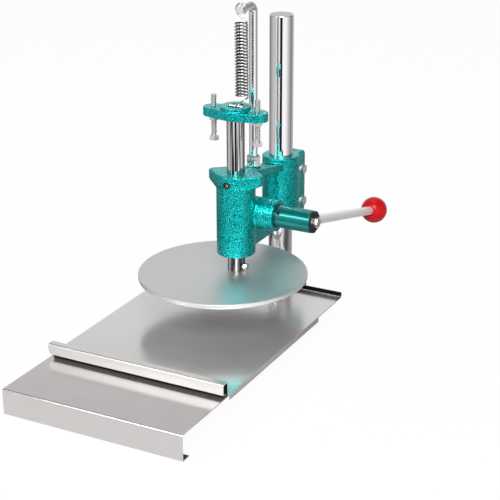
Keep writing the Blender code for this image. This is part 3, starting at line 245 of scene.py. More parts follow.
COLUMN_Y = 0.141
COLUMN_BORE = 0.0178
TUBE_WALL = 0.003
low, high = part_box("spine_tube")
tube = block("carrying_tube", low, high)
round_off(tube, lambda middle: near(abs(middle.x), high.x) and not near(middle.z, (low.z + high.z) / 2),
          TUBE_WALL, 5)
edit(tube, "FACE", lambda middle: near(middle.y, low.y) or near(middle.y, high.y),
     bpy.ops.mesh.delete, type="FACE")
shape_with(tube, "SOLIDIFY", thickness=TUBE_WALL, offset=-1.0)
cut(tube,
    hole(COLUMN_BORE, (0, COLUMN_Y, 0.025), (0, COLUMN_Y, 0.05), 96),
    hole(0.0053, (0, COLUMN_Y, -0.01), (0, COLUMN_Y, 0.01), 96),
    hole(0.0093, (0, COLUMN_Y, -0.0085), (0, COLUMN_Y, 0.0005), 96))
break_edges(tube, 0.0004)
complete(tube, coat_grey, "base", "spine_tube")

for word in ("left", "right"):
    low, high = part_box(f"rear_foot_{word}")
    foot = block(f"foot_{word}", low, high)
    outer = high.x if word == "right" else low.x
    round_off(foot, lambda middle: near(middle.x, outer) and near(middle.z, (low.z + high.z) / 2), 0.008, 8)
    break_edges(foot, 0.0005)
    complete(foot, coat_grey, "base", f"rear_foot_{word}")


# The base sheet
# One sheet of 1.5 mm stainless steel, folded on a press brake: a deck, a front apron with a return below it,
# and two narrow tabs at the back. The satin mill finish blurs what it mirrors along a faint grain.


def satin_steel(name, colour, roughness, metallic=0.88, others=None):
    """Stainless sheet: a grain along X, drawn 0.6 mm wide so that it shows, and slow clouds from handling."""
    finish, shader, place = new_finish(name, colour, metallic, roughness, others)
    along = add_node(finish, "ShaderNodeMapping", {"Scale": (1 / 0.040, 1 / 0.0006, 1 / 0.0006)},
                     {"Vector": place})
    grain = add_node(finish, "ShaderNodeTexNoise", {"Scale": 1.0, "Detail": 3.0}, {"Vector": along})
    cloud = add_node(finish, "ShaderNodeTexNoise", {"Scale": 1 / 0.045, "Detail": 2.0}, {"Vector": place})
    both = add_node(finish, "ShaderNodeMath", {"operation": "ADD"}, {0: grain, 1: cloud})
    rough = add_node(finish, "ShaderNodeMapRange",
                     {"From Min": 0.6, "From Max": 1.4, "To Min": roughness - 0.02,
                      "To Max": roughness + 0.03}, {"Value": both})
    bump = add_node(finish, "ShaderNodeBump", {"Strength": 0.08, "Distance": 0.00001}, {"Height": grain})
    tone = add_node(finish, "ShaderNodeMapRange",
                    {"From Min": 0.3, "From Max": 0.7, "To Min": 0.985, "To Max": 1.015}, {"Value": cloud})
    tint = add_node(finish, "ShaderNodeVectorMath", {"operation": "SCALE", 0: linear(colour)[:3]},
                    {"Scale": tone})
    plug(shader, {"Base Color": tint, "Roughness": rough, "Normal": bump})
    return finish


def sheet(name, low, high):
    """A flat sheet at the height of the two corners."""
    low, high = Vector(low), Vector(high)
    return added(name, bpy.ops.mesh.primitive_plane_add, (high.x - low.x, high.y - low.y, 1), size=1,
                 location=(low + high) / 2)


def everywhere(middle):
    """The test that all edges and faces pass."""
    return True


def divide(piece, point, normal, **settings):
    """Divide the piece's faces along a plane."""
    edit(piece, "FACE", everywhere, bpy.ops.mesh.bisect, plane_co=point, plane_no=normal, **settings)


def fold(piece, test, *moves):
    """Draw new sheet out of the edges whose middle passes the test, one fold after the other."""
    pick(piece, "EDGE", test)
    for move in moves:
        bpy.ops.mesh.extrude_region_move(TRANSFORM_OT_translate={"value": move})
    leave_edit()


def give(piece, index, test):
    """Give the faces whose middle passes the test another of the piece's finishes."""
    piece.active_material_index = index
    edit(piece, "FACE", test, bpy.ops.object.material_slot_assign)


def thicken(piece, wall, outer, inner):
    """Give the sheet its wall, with the second finish, a darker painted shade, on its side in the folds."""
    coat(piece, outer, inner)
    shape_with(piece, "SOLIDIFY", thickness=wall, offset=-1.0, material_offset=1)


base_steel = satin_steel("satin_stainless_base", "#DAD6D5", 0.17)
# The sheets' hidden sides are a darker grey: painted shade for the undersides and the insides of the folds
steel_inside_painted_shade = satin_steel("stainless_inside_painted_shade", "#6A6969", 0.5, 0.7)
BASE_BEND = 0.0025
BASE_RETURN = 0.016
TAB_ENDS = (-0.0675, -0.0303, 0.0303, 0.0425)
low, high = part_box("base_sheet")
deck_end = high.y - BASE_BEND
deck = sheet("folded_base", (low.x, low.y, high.z), (high.x, deck_end, high.z))
for x in TAB_ENDS:
    divide(deck, (x, 0, 0), (1, 0, 0))
fold(deck, lambda middle: near(middle.y, deck_end) and (TAB_ENDS[0] < middle.x < TAB_ENDS[1]
                                                        or TAB_ENDS[2] < middle.x < TAB_ENDS[3]),
     (0, high.y - deck_end, 0), (0, 0, -high.z), (0, -BASE_RETURN, 0))
fold(deck, lambda middle: near(middle.y, low.y), (0, 0, -high.z), (0, BASE_RETURN, 0))
round_off(deck, lambda middle: (near(middle.y, low.y) or near(middle.y, high.y))
          and (near(middle.z, high.z) or near(middle.z, 0))
          and not any(near(middle.x, x) for x in (low.x, high.x) + TAB_ENDS), BASE_BEND, 5)
thicken(deck, 0.0015, base_steel, steel_inside_painted_shade)
break_edges(deck, 0.0003, 2, 60)
complete(deck, None, "base", "base_sheet")


# The column on its block
# A ground bar of 35 mm, hard chromed, bolted down from below through a steel block in the tube. Chrome
# mirrors the room sharply, so it shows as white and dark stripes. Its sawn end was ground and left bare.


def wander(finish, shader, place, grain, lowest, highest, spread=(0.0, 1.0), detail=2.0):
    """Let the roughness wander between two values, in clouds a grain's length across."""
    cloud = add_node(finish, "ShaderNodeTexNoise", {"Scale": 1 / grain, "Detail": detail}, {"Vector": place})
    rough = add_node(finish, "ShaderNodeMapRange",
                     {"From Min": spread[0], "From Max": spread[1], "To Min": lowest, "To Max": highest},
                     {"Value": cloud})
    plug(shader, {"Roughness": rough})


def chrome(name, colour, roughness, metallic=1.0):
    """Hard chrome: nearly a mirror, with the faintest rings of 0.7 mm in its polish."""
    finish, shader, place = new_finish(name, colour, metallic, roughness)
    rings = add_node(finish, "ShaderNodeMapping", {"Scale": (1 / 0.003, 1 / 0.003, 1 / 0.0007)},
                     {"Vector": place})
    wander(finish, shader, rings, 1.0, roughness * 0.75, roughness * 1.3, (0.3, 0.7))
    return finish


hard_chrome = chrome("hard_chrome", "#F8F6F8", 0.04)
low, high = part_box("column")
column = bar("chromed_column", 0.0175, (0, COLUMN_Y, low.z), (0, COLUMN_Y, high.z), 128)
break_edges(column, 0.001, 3)
coat(column, hard_chrome, satin_steel("ground_end", "#C6C6C6", 0.4, 0.7))
give(column, 1, lambda middle: near(middle.z, high.z))
complete(column, None, "base", "column")

turned_steel, shader, place = new_finish("zinc_plated_steel", "#E2E0DD", 0.84, 0.2)
wander(turned_steel, shader, place, 0.0009, 0.14, 0.28, (0.3, 0.7), 3.0)
dress(turned_steel, "column_foot_block", "column_foot_bolt")


# The sliding tray
# One sheet of 1.2 mm stainless steel with a hooked front lip, a low rear lip and a flange at each side that
# guides it on the deck. It is a little brighter than the base, and its lip's front was brushed.

tray_steel = satin_steel("satin_stainless_tray", "#E4E2E0", 0.2, 0.84)
# Near black, a painted shade: it stands in the fold under the lip and on faces that stay in shade
painted_shade_black = satin_steel("painted_shade_fold", "#101010", 0.6, 0.1, {"Specular IOR Level": 0.1})
lip_steel = satin_steel("brushed_stainless_lip", "#DCDAD8", 0.32, 0.6)
low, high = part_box("tray")
TRAY_WALL = 0.0012
TRAY_TOP = 0.038
RISER = -0.2485
REAR_FACE = high.y - TRAY_WALL
MIDDLE = (low.x + high.x) / 2
LIP_HALF = 0.132
FLAP_DROP = 0.0161
FLAP = high.z - FLAP_DROP
FLANGE_ENDS = (-0.247, 0.019)
tray = sheet("folded_tray", (low.x, RISER, TRAY_TOP), (high.x, REAR_FACE, TRAY_TOP))
for x in (MIDDLE - LIP_HALF, MIDDLE + LIP_HALF):
    divide(tray, (x, 0, 0), (1, 0, 0))
for y in FLANGE_ENDS:
    divide(tray, (0, y, 0), (0, 1, 0))
fold(tray, lambda middle: near(abs(middle.x - MIDDLE), high.x - MIDDLE)
     and FLANGE_ENDS[0] < middle.y < FLANGE_ENDS[1], (0, 0, low.z - TRAY_TOP))
fold(tray, lambda middle: near(middle.y, REAR_FACE) and abs(middle.x - MIDDLE) <= high.x - MIDDLE,
     (0, 0, 0.0075))
fold(tray, lambda middle: near(middle.y, RISER) and abs(middle.x - MIDDLE) < LIP_HALF - 0.001,
     (0, 0, high.z - TRAY_TOP), (0, low.y - RISER, 0), (0, 0, -FLAP_DROP), (0, 0.0064, 0))
round_off(tray, lambda middle: abs(middle.x - MIDDLE) < LIP_HALF - 0.001
          and any(near(middle.y, y) and near(middle.z, z)
                  for y, z in ((RISER, high.z), (low.y, high.z), (low.y, FLAP))), 0.0022, 5)
round_off(tray, lambda middle: abs(middle.x - MIDDLE) < LIP_HALF - 0.001
          and near(middle.y, RISER) and near(middle.z, TRAY_TOP), 0.001, 4)
round_off(tray, lambda middle: near(middle.y, REAR_FACE) and near(middle.z, TRAY_TOP), 0.001, 4)
thicken(tray, TRAY_WALL, tray_steel, steel_inside_painted_shade)
END = MIDDLE - LIP_HALF
ROUND = 0.009
corner = block("corner", (END - 0.001, low.y - 0.001, FLAP - 0.001),
               (END + ROUND, RISER - 0.0018, FLAP + ROUND))
cut(corner, hole(ROUND, (END + ROUND, low.y - 0.002, FLAP + ROUND), (END + ROUND, RISER, FLAP + ROUND), 96))
cut(tray, corner)
break_edges(tray, 0.00025, 2, 60)
coat(tray, painted_shade_black, lip_steel)
# Painted shade in black in the fold under the lip, on the rear lip's face and along the flap's lower edge;
# the lip's brushed front; and the bare edge inside the flap
ANY = 1.0
for index, front, back, bottom, top in (
    (2, RISER - 0.0016, RISER - 0.0008, TRAY_TOP - 0.002, ANY),
    (2, low.y + 0.0023, low.y + 0.0074, -ANY, FLAP + 0.0003),
    (0, low.y + 0.0008, low.y + 0.0074, FLAP + 0.0007, FLAP + 0.0022),
    (2, REAR_FACE - 1e-5, REAR_FACE + 1e-5, TRAY_TOP + 0.001, ANY),
    (3, -ANY, low.y + 0.0004, FLAP, ANY),
    (2, -ANY, low.y + 0.0024, FLAP - 0.0001, FLAP + 0.0009),
):
    give(tray, index, lambda middle: front < middle.y < back and bottom < middle.z < top)
complete(tray, None, "tray", "tray")


# The body casting
# One iron casting: ram housing with its flange, pinion housing, web, arm and split clamp, with bores machined
# after casting. Hammered enamel in teal covers it: small domes, whose colour is lighter on their tops and
# darker in the hollows between them, partly the paint's own flakes and partly painted highlight and painted
# shade.


def two_tone(finish, shader, first, second, share):
    """Let the colour run from one hex value to another as a share goes from 0 to 1."""
    tint = add_node(finish, "ShaderNodeMix", {"data_type": "RGBA", "A": linear(first), "B": linear(second)},
                    {"Factor": share})
    plug(shader, {"Base Color": tint})


def hammered(name, dark, light, cell):
    """Hammered enamel: paint with metal flakes that draws together in cells a few millimetres wide."""
    finish, shader, place = new_finish(name, light, 0.82, 0.22, {
        "Specular IOR Level": 0.3, "Coat Weight": 0.12, "Coat Roughness": 0.06})
    warp = add_node(finish, "ShaderNodeTexNoise", {"Scale": 0.6 / cell, "Detail": 1.0}, {"Vector": place})
    shift = add_node(finish, "ShaderNodeVectorMath", {"operation": "SCALE", "Scale": cell * 1.1},
                     {0: warp.outputs["Color"]})
    moved = add_node(finish, "ShaderNodeVectorMath", {"operation": "ADD"}, {0: place, 1: shift})
    cells = add_node(finish, "ShaderNodeTexVoronoi",
                     {"feature": "SMOOTH_F1", "Scale": 1 / cell, "Smoothness": 0.45}, {"Vector": moved})
    grit = add_node(finish, "ShaderNodeTexNoise", {"Scale": 2.2 / cell, "Detail": 2.0}, {"Vector": place})
    dome_and_painted_shade = add_node(finish, "ShaderNodeMapRange",
                    {"From Min": 0.1, "From Max": 0.75, "To Min": 1.0, "To Max": 0.0,
                     "interpolation_type": "SMOOTHSTEP"}, {"Value": cells})
    height = add_node(finish, "ShaderNodeMath", {"operation": "MULTIPLY_ADD", 1: 0.35}, {0: grit, 2: dome_and_painted_shade})
    bump = add_node(finish, "ShaderNodeBump", {"Strength": 1.0, "Distance": cell * 0.13}, {"Height": height})
    # The colour follows the dome's height: lighter on the tops, darker in the hollows, partly the flakes'
    # pattern and partly painted highlight and painted shade
    two_tone(finish, shader, dark, light, dome_and_painted_shade)
    plug(shader, {"Normal": bump})
    return finish


def hulled(name, *parts):
    """The tightest skin round several shapes."""
    piece = joined(name, *parts)
    edit(piece, "FACE", everywhere, bpy.ops.mesh.convex_hull)
    return piece


def cast(piece, grid, passes):
    """Fuse shapes that overlap into one skin, with the soft corners of a casting."""
    shape_with(piece, "REMESH", mode="VOXEL", voxel_size=grid)
    shape_with(piece, "SMOOTH", factor=0.5, iterations=passes)


def on_shaft(x):
    """A point on the pinion shaft's axis."""
    return PINION + Vector((x, 0, 0))


teal = hammered("hammered_teal_enamel", "#0A8F90", "#16E8E4", 0.0019)
SHAFT_Z = 0.178
PINION = Vector((0, 0.022, SHAFT_Z))
HOUSING = 0.0275
FOOT_Z = 0.122
FLANGE_LOW = 0.227
FLANGE_TOP = 0.2405
EAR_X = 0.0337
WEB_HALF = 0.015
WEB_END = 0.125
ARM_TOP = 0.2365
EARS_HALF = 0.014
EARS_BACK = 0.196
EARS_TOP = 0.2213
RAM_BORE = 0.0128
POST_Y = 0.053
CLAMP_Y = 0.1815
CLAMP_HEIGHTS = (("lower", 0.144), ("upper", 0.194))
GUIDE_Z = 0.2285
M8_HOLE = 0.0043
casting = joined(
    "body_in_enamel",
    bar("housing", HOUSING, (0, 0, FOOT_Z), (0, 0, 0.235), 128),
    hulled("flange",
           bar("middle", 0.0283, (0, 0, FLANGE_LOW), (0, 0, FLANGE_TOP)),
           bar("ear", 0.008, (-EAR_X, 0, FLANGE_LOW), (-EAR_X, 0, FLANGE_TOP), 48),
           bar("ear", 0.008, (EAR_X, 0, FLANGE_LOW), (EAR_X, 0, FLANGE_TOP), 48),
           bar("under", 0.027, (0, 0, 0.219), (0, 0, 0.222))),
    bar("clamp", HOUSING, (0, COLUMN_Y, FOOT_Z), (0, COLUMN_Y, 0.2265), 128),
    block("web", (-WEB_HALF, 0.015, FOOT_Z), (WEB_HALF, WEB_END, 0.163)),
    bar("post_boss", 0.011, (0, POST_Y, 0.222), (0, POST_Y, 0.2346), 64),
    bar("pinion_boss", 0.0225, on_shaft(-0.029), on_shaft(0.055)),
)
# The arm slopes down from the clamp to the flange, and its underside is cut back in two slopes
arm = block("arm", (-WEB_HALF, 0.014, 0.209), (WEB_HALF, WEB_END, ARM_TOP))
for point, normal, side in (
    ((0, 0.0285, ARM_TOP), (0, 0.019, 0.0937), "clear_outer"),
    ((0, 0.052, 0.2205), (0, 0.0115, 0.0702), "clear_inner"),
    ((0, 0.0285, 0.2315), (0, 0.011, 0.0235), "clear_inner"),
):
    divide(arm, point, normal, use_fill=True, **{side: True})
ears = block("ears", (-EARS_HALF, 0.155, FOOT_Z), (EARS_HALF, EARS_BACK, EARS_TOP))
round_off(ears, lambda middle: near(middle.y, EARS_BACK) and near(middle.z, EARS_TOP), 0.008, 8)
round_off(ears, lambda middle: near(middle.y, EARS_BACK) and near(middle.z, FOOT_Z), 0.006, 8)
round_off(casting, lambda middle: near(abs(middle.x), WEB_HALF) and near(middle.z, FOOT_Z), 0.003, 1)
casting = joined("body_in_enamel", casting, arm, ears)
cast(casting, 0.0011, 5)
cut(casting,
    hole(RAM_BORE, (0, 0, 0.11), (0, 0, 0.25), 96),
    hole(COLUMN_BORE, (0, COLUMN_Y, 0.11), (0, COLUMN_Y, 0.25), 96),
    block("slot", (-0.0015, COLUMN_Y, 0.11), (0.0015, 0.21, 0.24)),
    hole(0.0174, on_shaft(-0.0093), on_shaft(0.06), 96),
    hole(0.0116, on_shaft(-0.04), PINION, 64),
    hole(0.0053, (0, -0.04, GUIDE_Z), (0, 0, GUIDE_Z)),
    hole(0.0063, (0, POST_Y, 0.2135), (0, POST_Y, 0.245)),
    *(hole(M8_HOLE, (-0.03, CLAMP_Y, height), (0.03, CLAMP_Y, height)) for word, height in CLAMP_HEIGHTS))
complete(casting, teal, "head", "body_casting", 50)


# The bushes and the plug
# Bronze bushes carry the pinion shaft in the casting. The outer face of the right one was painted over with
# the body, and a pressed steel plug closes the left end.

bronze, shader, place = new_finish("bearing_bronze", "#B98A4E", 1.0, 0.33)
wander(bronze, shader, place, 0.0006, 0.25, 0.42, detail=3.0)
dress(bronze, "left_bush")
dress(turned_steel, "shaft_plug")
low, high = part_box("right_bush")
bush = bar("painted_bush", 0.0171, on_shaft(low.x), on_shaft(high.x))
break_edges(bush, 0.0005)
cut(bush, hole(0.0103, PINION, on_shaft(0.06), 64), hole(RAM_BORE, (0, 0, 0.11), (0, 0, 0.25), 96))
complete(bush, teal, "head", "right_bush")


# The guide screw and the clamp's bolts
# A black oiled socket screw in the front of the housing bears on the ram. Two bright M8 bolts with thin
# washers pinch the clamp on the column, with their nuts on the left.


def hexagon(name, flats, start, end, both=False):
    """A hexagon bar between two points along X or Z, with the turned chamfer of a nut or a screw head."""
    start, end = Vector(start), Vector(end)
    run = end - start
    lies_on_x = abs(run.x) > abs(run.z)
    piece = added(name, bpy.ops.mesh.primitive_cylinder_add, vertices=6, radius=flats / math.sqrt(3),
                  depth=run.length, location=(start + end) / 2,
                  rotation=(0, math.pi / 2, 0) if lies_on_x else (0, 0, math.pi / 6))
    face = flats * 0.475
    slope = math.tan(math.radians(30))
    for low, high in ((start, end), (end, start)) if both else ((start, end),):
        cut(piece, bar("chamfer", face + run.length / slope, low, high, 96, face), operation="INTERSECT")
    return piece


black_oxide, shader, place = new_finish("black_oxide_steel", "#343230", 0.7, 0.42)
wander(black_oxide, shader, place, 0.0012, 0.3, 0.5)

SOCKET_FLOOR = 0.0025
low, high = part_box("guide_screw")
guide = bar("guide_socket_screw", 0.005, (0, low.y, GUIDE_Z), (0, high.y, GUIDE_Z), 64)
break_edges(guide, 0.0006)
cut(guide, added("socket", bpy.ops.mesh.primitive_cylinder_add, vertices=6, radius=0.0029, depth=0.01,
                 location=(0, low.y - 0.005 + SOCKET_FLOOR, GUIDE_Z), rotation=(math.pi / 2, 0, 0)))
# The socket's floor gets the bright plated finish, a painted highlight for the glint in the socket
coat(guide, black_oxide, turned_steel)
give(guide, 1, lambda middle: near(middle.y, low.y + SOCKET_FLOOR))
complete(guide, None, "head", "guide_screw")

M8 = 0.004
M8_FLATS = 0.013
for word, height in CLAMP_HEIGHTS:
    low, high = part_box(f"clamp_washer_{word}")
    washer = bar(f"thin_washer_{word}", 0.008, (low.x, CLAMP_Y, height), (high.x, CLAMP_Y, height), 64)
    break_edges(washer, 0.0002)
    cut(washer, hole(M8_HOLE, (low.x - 0.01, CLAMP_Y, height), (high.x + 0.01, CLAMP_Y, height)))
    complete(washer, turned_steel, "head", f"clamp_washer_{word}")
    low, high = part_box(f"clamp_bolt_{word}")
    shank = bar("shank", M8, (low.x, CLAMP_Y, height), (high.x - 0.005, CLAMP_Y, height), 48)
    break_edges(shank, 0.0006)
    head = hexagon("head", M8_FLATS, (high.x - 0.0053, CLAMP_Y, height), (high.x, CLAMP_Y, height))
    complete(joined(f"hexagon_bolt_{word}", head, shank), turned_steel, "head", f"clamp_bolt_{word}")
    low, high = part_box(f"clamp_nut_{word}")
    nut = hexagon(f"hexagon_nut_{word}", M8_FLATS, (high.x, CLAMP_Y, height), (low.x, CLAMP_Y, height), True)
    cut(nut, hole(M8_HOLE, (low.x - 0.01, CLAMP_Y, height), (high.x + 0.01, CLAMP_Y, height)))
    complete(nut, turned_steel, "head", f"clamp_nut_{word}")


# The spring post
# A chromed bar of 12 mm, bent over at its top to carry the return spring, screwed into the arm and locked
# by a nut and a thin jam nut.

POST = 0.006
BEND_Z = 0.455
BEND_Y = 0.043
low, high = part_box("spring_post")
post = added("bent_post", bpy.ops.mesh.primitive_circle_add, vertices=64, radius=POST, fill_type="NGON",
             location=(0, POST_Y, low.z))
edit(post, "FACE", everywhere, bpy.ops.mesh.extrude_region_move,
     TRANSFORM_OT_translate={"value": (0, 0, BEND_Z - low.z)})
pick(post, "FACE", lambda middle: near(middle.z, BEND_Z))
bpy.ops.mesh.spin(steps=16, angle=-math.pi / 2, center=(0, BEND_Y, BEND_Z), axis=(1, 0, 0))
bpy.ops.mesh.extrude_region_move(TRANSFORM_OT_translate={"value": (0, low.y - BEND_Y, 0)})
leave_edit()
break_edges(post, 0.0006)
complete(post, hard_chrome, "head", "spring_post")
for node, name in (("post_nut", "post_hexagon_nut"), ("post_jam_nut", "post_thin_nut")):
    low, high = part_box(node)
    nut = hexagon(name, 0.0185, (0, POST_Y, low.z), (0, POST_Y, high.z), True)
    cut(nut, hole(POST + 0.0002, (0, POST_Y, low.z - 0.01), (0, POST_Y, high.z + 0.01), 64))
    complete(nut, turned_steel, "head", node)


# The pinion shaft, the hub and the lever
# The hub is turned steel in smooth satin teal, held on the shaft by a grub screw and an M8 bolt with a dark
# washer. The tapered lever bar is plated in satin nickel, and its ball knob is glossy red phenolic.

dress(turned_steel, "pinion_shaft")
DROP = math.radians(14.4)
ALONG = Vector((0, math.cos(DROP), -math.sin(DROP)))
ROOT = on_shaft(0.1)
GRUB = math.radians(143)
GRUB_FOOT = on_shaft(0.061)

satin_teal, shader, place = new_finish("satin_teal_enamel", "#0A7F7C", 0.7, 0.27, {
    "Specular IOR Level": 0.3, "Coat Weight": 0.3, "Coat Roughness": 0.18})
orange_peel(satin_teal, shader, place, 0.0015, 0.15, 0.00006)

hub = bar("turned_hub", 0.016, on_shaft(0.056), on_shaft(0.109), 128)
break_edges(hub, 0.0012, 3)
cut(hub,
    hole(0.0103, on_shaft(0.05), on_shaft(0.0883), 64),
    hole(M8_HOLE, on_shaft(0.08), on_shaft(0.12)),
    hole(0.0073, ROOT + ALONG * 0.0062, ROOT + ALONG * 0.03, 64),
    hole(0.0033, GRUB_FOOT, GRUB_FOOT + Vector((0, math.cos(GRUB), math.sin(GRUB))) * 0.03))
complete(hub, satin_teal, "lever", "lever_hub")
dress(black_oxide, "hub_grub_screw")

SCALLOPS = 10
low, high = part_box("hub_washer")
washer = bar("dark_washer", 0.0155, on_shaft(low.x), on_shaft(high.x))
break_edges(washer, 0.0005)
cut(washer, hole(M8_HOLE, on_shaft(0.1), on_shaft(0.12)))
for step in range(SCALLOPS):
    turn = math.tau * step / SCALLOPS
    spoke = PINION + Vector((0.1, 0.0166 * math.cos(turn), 0.0166 * math.sin(turn)))
    cut(washer, hole(0.0024, spoke, spoke + Vector((0.02, 0, 0)), 32))
break_edges(washer, 0.0003)
complete(washer, black_oxide, "lever", "hub_washer")
low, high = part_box("hub_bolt")
bolt = joined("hub_hexagon_bolt",
              hexagon("head", M8_FLATS, on_shaft(high.x - 0.0055), on_shaft(high.x)),
              bar("shank", M8, on_shaft(low.x), on_shaft(high.x - 0.005), 48))
complete(bolt, turned_steel, "lever", "hub_bolt")

BALL = 0.02
BALL_OUT = 0.25
FLAT = math.sqrt(BALL ** 2 - 0.008 ** 2)
SHOULDER = BALL_OUT - FLAT - 0.0003
rod = bar("tapered_lever", 0.007, ROOT + ALONG * 0.0065, ROOT + ALONG * SHOULDER, 64, 0.00625)
break_edges(rod, 0.001)
neck = bar("neck", 0.005, ROOT + ALONG * (SHOULDER - 0.002), ROOT + ALONG * (SHOULDER + 0.015), 48)
rod = joined("tapered_lever", rod, neck)
complete(rod, chrome("satin_nickel", "#FAFAFA", 0.36, 0.5), "lever", "lever_rod")

red, shader, place = new_finish("red_phenolic", "#D8141E", 0.0, 0.24, {"Specular IOR Level": 0.3})
flow = add_node(red, "ShaderNodeTexNoise", {"Scale": 1 / 0.006, "Detail": 3.0, "Distortion": 1.0},
                {"Vector": place})
two_tone(red, shader, "#C60E17", "#D4141D", flow)
knob = added("red_ball", bpy.ops.mesh.primitive_uv_sphere_add, segments=96, ring_count=48, radius=BALL,
             location=ROOT + ALONG * BALL_OUT, rotation=ALONG.to_track_quat("Z", "Y").to_euler())
divide(knob, ROOT + ALONG * (BALL_OUT - FLAT), ALONG, use_fill=True, clear_inner=True)
cut(knob, hole(0.0053, ROOT + ALONG * 0.22, ROOT + ALONG * (SHOULDER + 0.0153)))
break_edges(knob, 0.0004, 2, 35)
complete(knob, red, "lever", "ball_knob")


# The ram and its rack
# A ground and chromed bar of 25 mm. Rack teeth of module 1.5 are milled across its back, where the pinion
# drives it. Its foot is drilled for the plate's spigot and a side screw. Long dark streaks are painted along
# its chrome, painted reflections, and its polish is rougher along them.

MODULE = 0.0015
PITCH = math.pi * MODULE
PITCH_Y = 0.007
TOOTH_TIP = PITCH_Y + MODULE
TOOTH_FOOT = PITCH_Y - MODULE * 1.25
HALF_GAP = PITCH / 4 + 0.0001
AT_TIP = HALF_GAP + (TOOTH_TIP - PITCH_Y) * math.tan(math.radians(20))
AT_FOOT = HALF_GAP - (PITCH_Y - TOOTH_FOOT) * math.tan(math.radians(20))
GAPS = 15
FIRST = SHAFT_Z - 2 * PITCH
LAST = FIRST + (GAPS - 1) * PITCH
MILLED = 0.02
SIDE_SCREW_Z = 0.1017
low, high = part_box("ram")
ram = bar("chromed_ram", 0.0125, (0, 0, low.z), (0, 0, high.z), 128)
break_edges(ram, 0.0009)
gap = block("gap", (-MILLED, TOOTH_FOOT, FIRST - AT_TIP), (MILLED, TOOTH_TIP + 0.0001, FIRST + AT_TIP))
edit(gap, "FACE", lambda middle: near(middle.y, TOOTH_FOOT), bpy.ops.transform.resize,
     value=(1, 1, AT_FOOT / AT_TIP), center_override=(0, TOOTH_FOOT, FIRST))
shape_with(gap, "ARRAY", count=GAPS, use_relative_offset=False, use_constant_offset=True,
           constant_offset_displace=(0, 0, PITCH))
mill = block("mill", (-MILLED, TOOTH_TIP, FIRST - AT_TIP - 0.004), (MILLED, MILLED, LAST + AT_TIP + 0.004))
cut(ram, mill, gap,
    hole(0.0063, (0, 0, low.z - 0.01), (0, 0, low.z + 0.018)),
    hole(0.0033, (0, 0, SIDE_SCREW_Z), (0.02, 0, SIDE_SCREW_Z)),
    hole(0.0017, (0.007, -0.0039, 0.107), (0.0175, -0.0098, 0.107), 32))
chrome_painted_dark_streaks, shader, place = new_finish("chrome_painted_dark_streaks", "#F4F2F4", 1.0, 0.1)
drawn = add_node(chrome_painted_dark_streaks, "ShaderNodeMapping", {"Scale": (1 / 0.0035, 1 / 0.0035, 1 / 0.2)},
                 {"Vector": place})
streak = add_node(chrome_painted_dark_streaks, "ShaderNodeTexNoise", {"Scale": 1.0, "Detail": 3.0}, {"Vector": drawn})
# Long dark streaks in the colour: painted reflections of dark surroundings, with rougher polish along them
painted_reflection_streak = add_node(chrome_painted_dark_streaks, "ShaderNodeMapRange", {"From Min": 0.42, "From Max": 0.56}, {"Value": streak})
rough = add_node(chrome_painted_dark_streaks, "ShaderNodeMapRange", {"To Min": 0.06, "To Max": 0.25}, {"Value": painted_reflection_streak})
two_tone(chrome_painted_dark_streaks, shader, "#F4F2F4", "#3C3A3C", painted_reflection_streak)
plug(shader, {"Roughness": rough})
complete(ram, chrome_painted_dark_streaks, "ram", "ram")


# The press plate
# A round plate of polished steel, 240 mm across and 6.5 mm thick, with a spigot welded on. Its screw goes
# through the ram's foot from the right.

CENTRE = Vector((-0.0125, -0.017, 0))
PLATE = 0.12
PLATE_TOP = 0.096
low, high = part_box("press_plate")
plate = bar("round_plate", PLATE, CENTRE + Vector((0, 0, low.z)), CENTRE + Vector((0, 0, PLATE_TOP)), 256)
break_edges(plate, 0.0012, 4)
plate = joined("round_plate", plate, bar("spigot", 0.006, (0, 0, PLATE_TOP - 0.002), (0, 0, high.z), 48))
# The rim is brighter and less metallic than the face: partly its turning, partly a painted highlight along
# the edge
coat(plate, satin_steel("polished_plate", "#DEDEDE", 0.44, 0.9),
     satin_steel("turned_rim_painted_highlight", "#F2F2F2", 0.4, 0.6))
give(plate, 1, lambda middle: (middle - CENTRE).xy.length > PLATE - 0.0005 and middle.z < PLATE_TOP - 0.0008)
complete(plate, None, "ram", "press_plate")
low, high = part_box("plate_screw")
screw = joined("plate_hexagon_screw",
               hexagon("head", 0.009, (high.x - 0.005, 0, SIDE_SCREW_Z), (high.x, 0, SIDE_SCREW_Z)),
               bar("shank", 0.003, (low.x, 0, SIDE_SCREW_Z), (high.x - 0.0045, 0, SIDE_SCREW_Z), 48))
complete(screw, turned_steel, "ram", "plate_screw")


# The crossplate
# A cast plate with a raised ring on the ram's top, in the same hammered enamel. A pin across its ring holds
# the spring's lower hook, and a set screw behind locks it to the ram.

